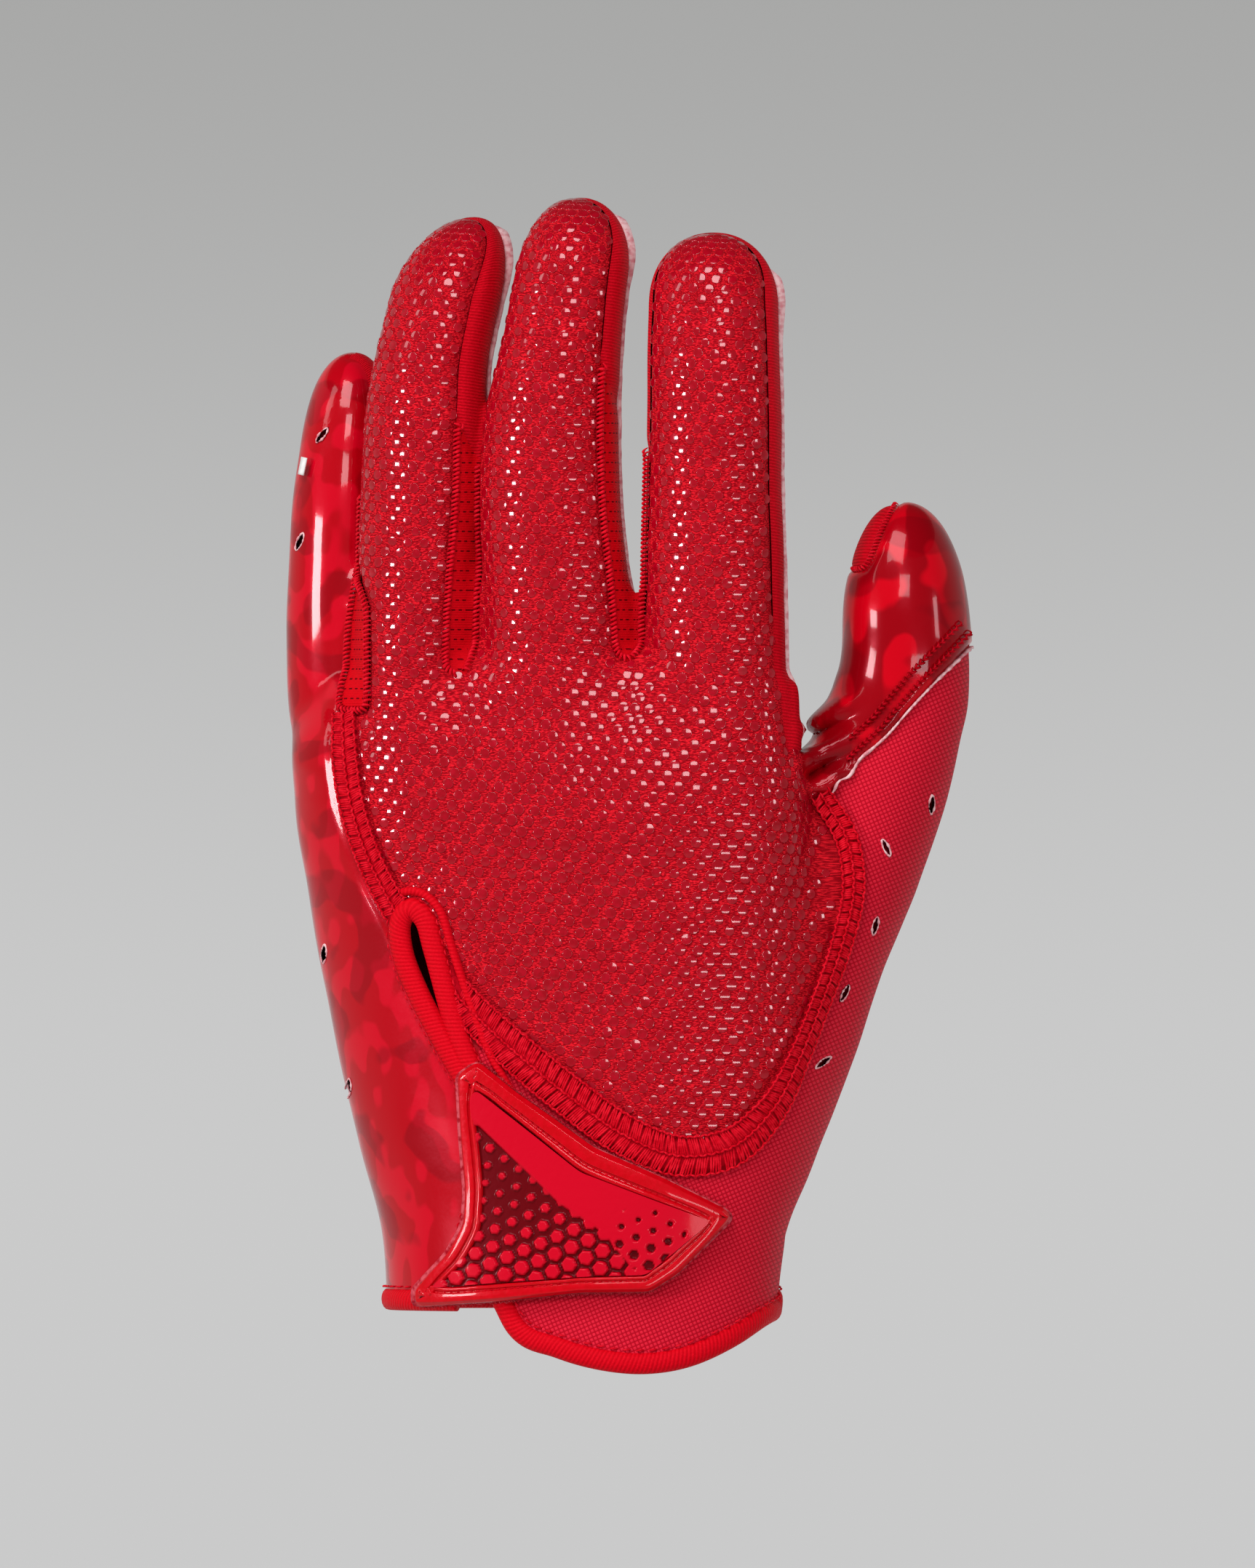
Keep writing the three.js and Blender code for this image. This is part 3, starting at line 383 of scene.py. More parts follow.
TAB_PLACE = (-0.317, 0.005)
# Corners in the front view as shares of the tab's length and height.
TAB_OUTLINE = (
    (0.0, 0.0), (0.27, 0.027), (0.52, 0.063), (0.74, 0.066), (0.83, 0.14), (0.985, 0.345), (1.0, 0.375),
    (0.975, 0.405), (0.78, 0.53), (0.565, 0.65), (0.44, 0.765), (0.31, 0.88), (0.195, 1.0), (0.13, 0.945),
    (0.14, 0.7), (0.155, 0.47), (0.15, 0.34), (0.1, 0.22), (-0.005, 0.07),
)
INLAY_OUTLINE = (
    (0.07, 0.075), (0.3, 0.1), (0.559, 0.124), (0.729, 0.13), (0.82, 0.23), (0.924, 0.352), (0.74, 0.44),
    (0.529, 0.545), (0.36, 0.72), (0.2, 0.885), (0.182, 0.84), (0.205, 0.64), (0.218, 0.447), (0.2, 0.27),
    (0.14, 0.16),
)
SMOOTH_FIELD = (
    (0.16, 0.8), (0.46, 0.42), (0.6, 0.3), (0.72, 0.1), (1.05, 0.1), (1.05, 0.6), (0.5, 0.95), (0.1, 1.1),
)
PIT_FIELD = ((0.6, 0.22), (0.74, 0.12), (0.86, 0.3), (0.8, 0.42), (0.66, 0.4))
HEX_PITCH = 3.4
HEX_SLANT = -37.0
CELL_HEIGHT = 0.95

# The rim's stitches: pitch, and share of the rim's width; and the hook pad's section under it
TAB_STITCH = 1.3
TAB_STITCH_SHARE = 0.71
HOOK_SECTION = ((-0.2, 0.0), (1.6, 0.0), (1.6, 1.6), (-0.1, 1.7))

# Section of the tab's rim, from the outer edge in: share of its width, and height in millimetres
RIM_SECTION = (
    (0.0, -0.9), (0.0, 0.5), (0.01, 0.62), (0.03, 0.7), (0.15, 1.4), (0.17, 1.47), (0.2, 1.5),
    (0.6, 1.5), (0.62, 1.48), (0.63, 1.4), (0.64, 0.95), (0.66, 0.9), (0.74, 0.9), (0.76, 0.95),
    (0.77, 1.2), (0.79, 1.28), (0.93, 1.28), (0.95, 1.24), (0.96, 1.1), (1.0, 1.0), (1.0, -0.9),
)


def smoothstep(values: np.ndarray) -> np.ndarray:
    """Eases 0 to 1.

    Args:
        values: shares, clipped to 0 and 1.

    Returns:
        The eased shares.
    """
    t = np.clip(values, 0.0, 1.0)
    return t * t * (3.0 - 2.0 * t)


def unit(vectors: np.ndarray) -> np.ndarray:
    """Scales vectors to length 1.

    Args:
        vectors: one vector a row.

    Returns:
        The unit vectors.
    """
    return vectors / np.maximum(np.linalg.norm(vectors, axis=-1, keepdims=True), 1e-9)


def smooth_min(one: np.ndarray, other: np.ndarray, reach: float) -> np.ndarray:
    """Joins two distance fields with a fillet.

    Args:
        one: a distance field.
        other: another distance field.
        reach: how far apart the two may be and still round into each other.

    Returns:
        The joined distance field.
    """
    near = np.maximum(reach - np.abs(one - other), 0.0) / reach
    return np.minimum(one, other) - near * near * reach / 4.0


def hermite(x: np.ndarray, xs: np.ndarray, ys: np.ndarray) -> np.ndarray:
    """Smooth interpolation through a table.

    Args:
        x: where to read the table.
        xs: rising table positions.
        ys: table values.

    Returns:
        The interpolated values, level beyond the table's ends.
    """
    slope = np.gradient(ys, xs)
    x = np.clip(x, xs[0], xs[-1])
    i = np.clip(np.searchsorted(xs, x, side="right") - 1, 0, len(xs) - 2)
    run = xs[i + 1] - xs[i]
    t = (x - xs[i]) / run
    a, b = ys[i], ys[i + 1]
    return (
        a * (1 + 2 * t) * (1 - t) ** 2
        + slope[i] * run * t * (1 - t) ** 2
        + b * t * t * (3 - 2 * t)
        + slope[i + 1] * run * t * t * (t - 1)
    )


class Limb:
    """A tube of level oval sections with a rounded end: the hand's body or one of its digits."""

    def __init__(
        self,
        table: np.ndarray,
        turn: float,
        cap: float,
        tip: tuple[float, float],
        fade: float,
        starts: tuple[float, float] = (400, 400),
    ) -> None:
        """Args:
        table: rows of z, x, y, half width, half depth and squareness.
        turn: degrees that the sections are turned.
        cap: height of the rounded end over the last row.
        tip: x and y of the end's top.
        fade: length over which the tube closes below its first row.
        starts: height where the knitted strip starts on the left and the right.
        """
        self.table = table
        self.turn = math.radians(turn)
        self.cap = cap
        self.tip = tip
        self.fade = fade
        self.starts = starts
        angles = np.linspace(-math.pi, math.pi, 181)
        ratio = float(np.mean(table[:, 3] / table[:, 4]))
        speed = np.sqrt(np.sin(angles) ** 2 + (np.cos(angles) / ratio) ** 2)
        arc = np.concatenate([[0.0], np.cumsum((speed[1:] + speed[:-1]) / 2 * np.diff(angles))])
        self.angles = angles
        self.arc = arc - np.interp(-math.pi / 2, angles, arc)

    @classmethod
    def digit(cls, sizes: DigitTable) -> "Limb":
        """Args:
            sizes: a finger's or the thumb's table.

        Returns:
            Its limb.
        """
        rows = [
            (
                sizes.root + row.at * sizes.length,
                row.x * PALM_BREADTH,
                row.y * PALM_DEPTH,
                row.wide * sizes.breadth / 2,
                row.deep * sizes.depth / 2,
                2.15,
            )
            for row in sizes.rows
        ]
        table = np.array(rows)
        cap = sizes.root + sizes.length - table[-1, 0]
        tip = (sizes.tip[0] * PALM_BREADTH, sizes.tip[1] * PALM_DEPTH)
        return cls(table, sizes.roll, cap, tip, 34.0, sizes.starts)

    @classmethod
    def hand(cls) -> "Limb":
        """Returns:
        The hand's body.
        """
        rows = []
        for row in HAND_ROWS:
            breadth = WRIST_BREADTH if row.wrist else PALM_BREADTH
            depth = WRIST_DEPTH if row.wrist else PALM_DEPTH
            rows.append(
                (
                    row.up * PALM_LENGTH,
                    (row.left + row.right) / 2 * breadth,
                    row.set * PALM_DEPTH,
                    (row.right - row.left) * breadth / 2 / math.cos(math.radians(HAND_TURN)),
                    row.depth * depth / 2,
                    row.square,
                )
            )
        table = np.array(rows)
        return cls(table, HAND_TURN, HAND_CAP * PALM_LENGTH, (table[-1, 1], table[-1, 2]), 1.0)

    def local(self, x: np.ndarray, y: np.ndarray, z: np.ndarray) -> tuple[np.ndarray, ...]:
        """Places points in the limb's own turned frame.

        Args:
            x: left to right.
            y: front to back.
            z: up.

        Returns:
            Across u, depth v, half width, half depth, squareness and height over the shoulder.
        """
        rows = self.table
        over = np.maximum(z - rows[-1, 0], 0.0)
        lean = np.clip(over / self.cap, 0.0, 1.0)
        slope = (rows[-1] - rows[-2]) / (rows[-1, 0] - rows[-2, 0])
        run = over * (1 - lean)
        cx = hermite(z, rows[:, 0], rows[:, 1]) + slope[1] * run + (self.tip[0] - rows[-1, 1]) * lean**2
        cy = hermite(z, rows[:, 0], rows[:, 2]) + slope[2] * run + (self.tip[1] - rows[-1, 2]) * lean**2
        shut = np.maximum(smoothstep(1.0 - (rows[0, 0] - z) / self.fade), 0.02)
        run = over * (1 - 0.5 * lean)
        width = (hermite(z, rows[:, 0], rows[:, 3]) + slope[3] * run) * shut
        depth = (hermite(z, rows[:, 0], rows[:, 4]) + slope[4] * run) * shut
        square = hermite(z, rows[:, 0], rows[:, 5])
        dx, dy = x - cx, y - cy
        cos, sin = math.cos(self.turn), math.sin(self.turn)
        return dx * cos - dy * sin, dx * sin + dy * cos, width, depth, square, over

    def distance(self, x: np.ndarray, y: np.ndarray, z: np.ndarray) -> np.ndarray:
        """Args:
            x: left to right.
            y: front to back.
            z: up.

        Returns:
            About how far each point is outside the limb.
        """
        u, v, width, depth, square, over = self.local(x, y, z)
        a, b, c = np.abs(u / width), np.abs(v / depth), over / self.cap
        size = (a**square + b**square + c**square) ** (1.0 / square) + 1e-6
        reach = np.sqrt(u * u + v * v + over * over) + 1e-4
        under = np.maximum(self.table[0, 0] - 0.6 * self.fade - z, 0.0)
        return reach - reach / size + under

    def across(self, x: np.ndarray, y: np.ndarray, z: np.ndarray) -> np.ndarray:
        """Args:
            x: left to right.
            y: front to back.
            z: up.

        Returns:
            Length round the section from the middle of its back, to the right.
        """
        u, v, width, depth, _, _ = self.local(x, y, z)
        return width * np.interp(np.arctan2(v / depth, u / width), self.angles, self.arc)


def middle_line(x: np.ndarray) -> np.ndarray:
    """Args:
        x: left to right.

    Returns:
        The y that parts the glove's front from its back.
    """
    slope = math.tan(math.radians(HAND_TURN))
    knots = np.array([-90.0, 33.0, 46.0, 62.0, 152.0])
    levels = np.array([90 * slope + 1.4, -33 * slope + 1.4, -0.7, 5.0, 5.0])
    return np.interp(x, knots, levels)


class GloveForm:
    """The whole glove's outside as a distance field."""

    def __init__(self) -> None:
        self.hand = Limb.hand()
        self.thumb = Limb.digit(THUMB)
        self.fingers = [Limb.digit(sizes) for sizes in FINGERS]

    def distance(self, x: np.ndarray, y: np.ndarray, z: np.ndarray) -> np.ndarray:
        """Args:
            x: left to right.
            y: front to back.
            z: up.

        Returns:
            About how far each point is outside the glove.
        """
        fingers = self.fingers[0].distance(x, y, z)
        for finger in self.fingers[1:]:
            web = FORK_FILLET + WEB_FILLET * smoothstep((WEB_LEVEL - z) / WEB_FADE)
            fingers = smooth_min(fingers, finger.distance(x, y, z), web)
        palm = smooth_min(self.hand.distance(x, y, z), self.thumb.distance(x, y, z), THUMB_FILLET)
        return smooth_min(palm, fingers, KNUCKLE_FILLET) - self.folds(x, y, z)

    @staticmethod
    def folds(x: np.ndarray, y: np.ndarray, z: np.ndarray) -> np.ndarray:
        """Args:
            x: left to right.
            y: front to back.
            z: up.

        Returns:
            Height of the folds in the fork of the thumb.
        """
        lean = math.radians(FOLD_LEAN)
        across = (z - FOLD_PLACE[1]) * math.cos(lean) - (x - FOLD_PLACE[0]) * math.sin(lean)
        ridge = 0.5 + 0.5 * np.cos(across * 2 * math.pi / FOLD_PITCH)
        offsets = (x - FOLD_PLACE[0] + 1, across, y + 1)
        reach = sum((offset / size) ** 2 for offset, size in zip(offsets, FOLD_REACH))
        return FOLD_RISE * ridge**1.5 * np.exp(-(reach**1.5))

    def at(self, points: np.ndarray) -> np.ndarray:
        """Args:
            points: one point a row.

        Returns:
            Their distances.
        """
        return self.distance(points[:, 0], points[:, 1], points[:, 2])

    def normals(self, points: np.ndarray) -> np.ndarray:
        """Args:
            points: one point a row.

        Returns:
            Unit vectors that point out of the glove.
        """
        gradient = np.empty_like(points)
        for axis in range(3):
            step = np.zeros(3)
            step[axis] = PROBE
            gradient[:, axis] = self.at(points + step) - self.at(points - step)
        return unit(gradient)

    def settle(self, points: np.ndarray, lift: float = 0.0, rounds: int = 4) -> np.ndarray:
        """Moves points along the field's slope until they lie at a height over the skin.

        Args:
            points: one point a row.
            lift: height over the skin.
            rounds: number of steps.

        Returns:
            The moved points.
        """
        for _ in range(rounds):
            normals = self.normals(points)
            slope = (self.at(points + PROBE * normals) - self.at(points - PROBE * normals)) / (2 * PROBE)
            off = (self.at(points) - lift) / np.maximum(slope, 0.3)
            points = points - normals * np.clip(off, -4.0, 4.0)[:, None]
        return points

    def front(self, x: np.ndarray, z: np.ndarray, lift: float = 0.0) -> np.ndarray:
        """Finds the front surface under points of the front view.

        Args:
            x: left to right.
            z: up.
            lift: height over the skin.

        Returns:
            Points on the front of the glove, one a row.
        """
        low = np.full_like(x, -60.0)
        high = middle_line(x)
        for _ in range(HALVINGS):
            mid = (low + high) / 2
            outside = self.distance(x, mid, z) > lift
            low, high = np.where(outside, mid, low), np.where(outside, high, mid)
        return np.stack([x, (low + high) / 2, z], axis=1)


@dataclass
class Patch:
    """Part of a surface: points, values at the points, and triangles.

    Args:
        points: one point a row, in millimetres.
        values: named values, one for each point.
        faces: three point numbers a row.
    """

    points: np.ndarray
    values: dict[str, np.ndarray]
    faces: np.ndarray

    def tidy(self) -> "Patch":
        """Returns:
        The same patch without unused points.
        """
        used, faces = np.unique(self.faces, return_inverse=True)
        values = {key: value[used] for key, value in self.values.items()}
        return Patch(self.points[used], values, faces.reshape(-1, 3))

    def cut(self, level: np.ndarray) -> tuple["Patch", "Patch", list[np.ndarray]]:
        """Cuts the patch where a value is zero.

        Args:
            level: a value for each point.

        Returns:
            The part below zero, the part above, and the cut lines as runs of points.
        """
        below = level[self.faces] < 0
        count = below.sum(axis=1)
        mixed = (count == 1) | (count == 2)
        faces, low = self.faces[mixed], below[mixed]
        single = count[mixed] == 1
        lone = np.where(single, low.argmax(axis=1), low.argmin(axis=1))
        rows = np.arange(len(faces))
        a, b, c = (faces[rows, (lone + k) % 3] for k in range(3))
        total = len(self.points)
        keys = np.concatenate([np.minimum(a, p) * total + np.maximum(a, p) for p in (b, c)])
        edges, index = np.unique(keys, return_inverse=True)
        start, end = edges // total, edges % total
        share = level[start] / (level[start] - level[end])
        share = np.clip(share, 0.02, 0.98)

        def between(array: np.ndarray) -> np.ndarray:
            part = share.reshape((-1,) + (1,) * (array.ndim - 1))
            return np.concatenate([array, array[start] * (1 - part) + array[end] * part])

        points = between(self.points)
        values = {key: between(value) for key, value in self.values.items()}
        ab, ac = index[: len(a)] + total, index[len(a):] + total
        lone_faces = np.stack([a, ab, ac], axis=1)
        rest = np.concatenate([np.stack([ab, b, c], axis=1), np.stack([ab, c, ac], axis=1)])
        twice = np.concatenate([single, single])
        inside = np.concatenate([self.faces[count == 3], lone_faces[single], rest[~twice]])
        outside = np.concatenate([self.faces[count == 0], lone_faces[~single], rest[twice]])
        first, last = np.where(single, ab, ac), np.where(single, ac, ab)
        runs = [points[run] for run in chain(first, last)]
        return Patch(points, values, inside).tidy(), Patch(points, values, outside).tidy(), runs

    def edges(self) -> np.ndarray:
        """Returns:
        Both points of every triangle's three edges, in the triangle's direction.
        """
        return np.concatenate([self.faces[:, pair] for pair in ([0, 1], [1, 2], [2, 0])])

    def rim(self) -> list[np.ndarray]:
        """Returns:
        The patch's free edges as runs of points.
        """
        edges = self.edges()
        total = len(self.points)
        keys, back = edges[:, 0] * total + edges[:, 1], edges[:, 1] * total + edges[:, 0]
        free = edges[~np.isin(keys, back)]
        return [self.points[run] for run in chain(free[:, 0], free[:, 1])]

    def refine(self, mask: np.ndarray) -> "Patch":
        """Splits triangles in four.

        Args:
            mask: True for each triangle to split.

        Returns:
            The finer patch.
        """
        a, b, c = self.faces[mask].T
        total = len(self.points)
        pairs = np.concatenate([np.stack(pair, axis=1) for pair in ((a, b), (b, c), (c, a))])
        keys = pairs.min(axis=1) * total + pairs.max(axis=1)
        edges, index = np.unique(keys, return_inverse=True)
        start, end = edges // total, edges % total

        def between(array: np.ndarray) -> np.ndarray:
            return np.concatenate([array, (array[start] + array[end]) / 2])

        ab, bc, ca = np.split(index + total, 3)
        fours = [np.stack(t, axis=1) for t in ((a, ab, ca), (ab, b, bc), (ca, bc, c), (ab, bc, ca))]
        values = {key: between(value) for key, value in self.values.items()}
        return Patch(between(self.points), values, np.concatenate([self.faces[~mask], *fours]))

    def largest(self) -> "Patch":
        """Returns:
        The patch's largest connected part.
        """
        label = np.arange(len(self.points))
        while True:
            lowest = label[self.faces].min(axis=1)
            new = label.copy()
            for k in range(3):
                np.minimum.at(new, self.faces[:, k], lowest)
            new = new[new]
            if np.array_equal(new, label):
                break
            label = new
        names, counts = np.unique(label[self.faces[:, 0]], return_counts=True)
        keep = label[self.faces[:, 0]] == names[counts.argmax()]
        return Patch(self.points, self.values, self.faces[keep]).tidy()


def chain(first: np.ndarray, last: np.ndarray) -> list[np.ndarray]:
    """Joins segments into runs.

    Args:
        first: where each segment starts.
        last: where each segment ends.

    Returns:
        Runs of point numbers, the longest first.
    """
    after = dict(zip(first.tolist(), last.tolist()))
    ends = set(last.tolist())
    runs = []
    heads = [p for p in after if p not in ends]
    while after:
        point = heads.pop() if heads else next(iter(after))
        run = [point]
        while point in after:
            point = after.pop(point)
            run.append(point)
        if len(run) > 3:
            runs.append(np.array(run))
    return sorted(runs, key=len, reverse=True)


def surface_net(form: Callable[..., np.ndarray], step: float) -> Patch:
    """Wraps the zero surface of a distance field in a net of triangles.

    Args:
        form: the field, a function of x, y and z arrays.
        step: size of the net's cells.

    Returns:
        The net.
    """
    low, high = SEARCH_BOX
    axes = [np.arange(low[k], high[k] + step, step, dtype=np.float32) for k in range(3)]
    grid = np.empty([len(axis) for axis in axes], np.float32)
    for i in range(0, len(axes[2]), 16):
        part = axes[2][i : i + 16]
        grid[:, :, i : i + 16] = form(axes[0][:, None, None], axes[1][None, :, None], part[None, None, :])
    inside = grid < 0
    shape = np.array(grid.shape) - 1
    count = np.zeros(shape, np.int8)
    corners = [(i, j, k) for i in (0, 1) for j in (0, 1) for k in (0, 1)]
    for i, j, k in corners:
        count += inside[i : i + shape[0], j : j + shape[1], k : k + shape[2]]
    cells = np.argwhere((count > 0) & (count < 8))
    number = np.full(shape, -1, np.int64)
    number[tuple(cells.T)] = np.arange(len(cells))
    total = np.zeros((len(cells), 3))
    hits = np.zeros(len(cells))
    for axis in range(3):
        for corner in corners:
            if corner[axis]:
                continue
            far = list(corner)
            far[axis] = 1
            a = grid[tuple((cells + corner).T)]
            b = grid[tuple((cells + far).T)]
            cross = (a < 0) != (b < 0)
            share = a / np.where(a == b, 1.0, a - b)
            place = np.repeat(np.array(corner, float)[None], len(cells), axis=0)
            place[:, axis] += share
            total[cross] += place[cross]
            hits[cross] += 1
    points = (cells + total / hits[:, None]) * step + np.array(low)
    faces = []
    for axis in range(3):
        b_axis, c_axis = (axis + 1) % 3, (axis + 2) % 3
        near = [slice(1, -1)] * 3
        near[axis] = slice(0, -1)
        far = list(near)
        far[axis] = slice(1, None)
        one, other = inside[tuple(near)], inside[tuple(far)]
        spots = np.argwhere(one != other)
        offset = np.ones(3, int)
        offset[axis] = 0
        spots = spots + offset
        flip = inside[tuple(spots.T)]
        ring = []
        for db, dc in ((0, 0), (-1, 0), (-1, -1), (0, -1)):
            cell = spots.copy()
            cell[:, b_axis] += db
            cell[:, c_axis] += dc
            ring.append(number[tuple(cell.T)])
        quad = np.stack(ring, axis=1)
        quad = np.where(flip[:, None], quad[:, ::-1], quad)
        quad = quad[(quad >= 0).all(axis=1)]
        faces += [quad[:, [0, 2, 1]], quad[:, [0, 3, 2]]]
    return Patch(points, {}, np.concatenate(faces))


def relax(patch: Patch, form: GloveForm, lift: float, rounds: int) -> None:
    """Evens out a net and settles it on the form again.

    Args:
        patch: the net, changed in place.
        form: the form it wraps.
        lift: height over the form's skin.
        rounds: number of rounds.
    """
    edges = patch.edges()
    for _ in range(rounds):
        total = np.zeros_like(patch.points)
        count = np.zeros(len(patch.points))
        for a, b in ((0, 1), (1, 0)):
            np.add.at(total, edges[:, a], patch.points[edges[:, b]])
            np.add.at(count, edges[:, a], 1)
        patch.points = patch.points * 0.4 + total / np.maximum(count, 1)[:, None] * 0.6
    patch.points = form.settle(patch.points, lift, 2)


def even(points: np.ndarray, pitch: float, read: Callable[..., np.ndarray] = np.interp) -> np.ndarray:
    """Spaces a line's points evenly.

    Args:
        points: the line, one point a row.
        pitch: distance between points.
        read: reads a column between its known values.

    Returns:
        The evenly spaced points.
    """
    far = np.concatenate([[0.0], np.cumsum(np.linalg.norm(np.diff(points, axis=0), axis=1))])
    at = np.linspace(0.0, far[-1], max(int(round(far[-1] / pitch)), 2) + 1)
    return np.stack([read(at, far, column) for column in points.T], axis=1)


def curve(points: np.ndarray, pitch: float) -> np.ndarray:
    """Draws a smooth line through points.

    Args:
        points: the points, one a row.
        pitch: distance between the line's points.

    Returns:
        The line.
    """
    return even(points, pitch, hermite)


def placed(rows: Iterable[SeamRow]) -> np.ndarray:
    """Args:
        rows: rows of a seam table.

    Returns:
        Their places in the front view, in millimetres.
    """
    return np.array([(row.x * PALM_BREADTH, row.up * PALM_LENGTH) for row in rows])


def line_reach(x: np.ndarray, z: np.ndarray, line: np.ndarray) -> tuple[np.ndarray, np.ndarray]:
    """Measures points of the front view against a line.

    Args:
        x: left to right.
        z: up.
        line: the line's points.

    Returns:
        Distance, and place along the line counted in its points.
    """
    best = np.full(x.shape, 1e9)
    place = np.zeros(x.shape)
    for i, (a, b) in enumerate(zip(line[:-1], line[1:])):
        run = b - a
        t = np.clip(((x - a[0]) * run[0] + (z - a[1]) * run[1]) / max(run @ run, 1e-9), 0, 1)
        dx, dz = x - a[0] - t * run[0], z - a[1] - t * run[1]
        far = np.hypot(dx, dz)
        near = far < best
        best = np.where(near, far, best)
        place = np.where(near, i + t, place)
    return best, place


def outline_level(x: np.ndarray, z: np.ndarray, outline: np.ndarray) -> np.ndarray:
    """Measures points of the front view against a closed outline.

    Args:
        x: left to right.
        z: up.
        outline: the outline's corners.

    Returns:
        Distance to the outline, below zero inside it.
    """
    inside = np.zeros(x.shape, bool)
    for a, b in zip(outline, np.roll(outline, -1, axis=0)):
        if a[1] != b[1]:
            cross = (a[1] > z) != (b[1] > z)
            inside ^= cross & (x < (b[0] - a[0]) * (z - a[1]) / (b[1] - a[1]) + a[0])
    far = line_reach(x, z, np.vstack([outline, outline[:1]]))[0]
    return np.where(inside, -far, far)


def waves(points: np.ndarray, size: float, seed: int) -> np.ndarray:
    """Soft irregular noise.

    Args:
        points: one point a row.
        size: size of its lumps.
        seed: which noise.

    Returns:
        Values from about -1 to 1.
    """
    rng = np.random.default_rng(SEED + seed)
    total = np.zeros(len(points))
    for _ in range(7):
        way = unit(rng.normal(size=points.shape[1])) * 2 * math.pi / (size * rng.uniform(0.7, 1.5))
        total += np.sin(points @ way + rng.uniform(0, 2 * math.pi))
    return total / 3.0


def flap_edge(x: np.ndarray) -> np.ndarray:
    """Args:
        x: left to right.

    Returns:
        Height of the front hem.
    """
    rows = [(row.x * PALM_BREADTH, HEM_RADIUS - row.up * HEM_DROP) for row in FLAP_EDGE]
    rows = np.array([(rows[0][0] - 2, HEM_RADIUS), *rows, (45, HEM_RADIUS)])
    return hermite(x, rows[:, 0], rows[:, 1])


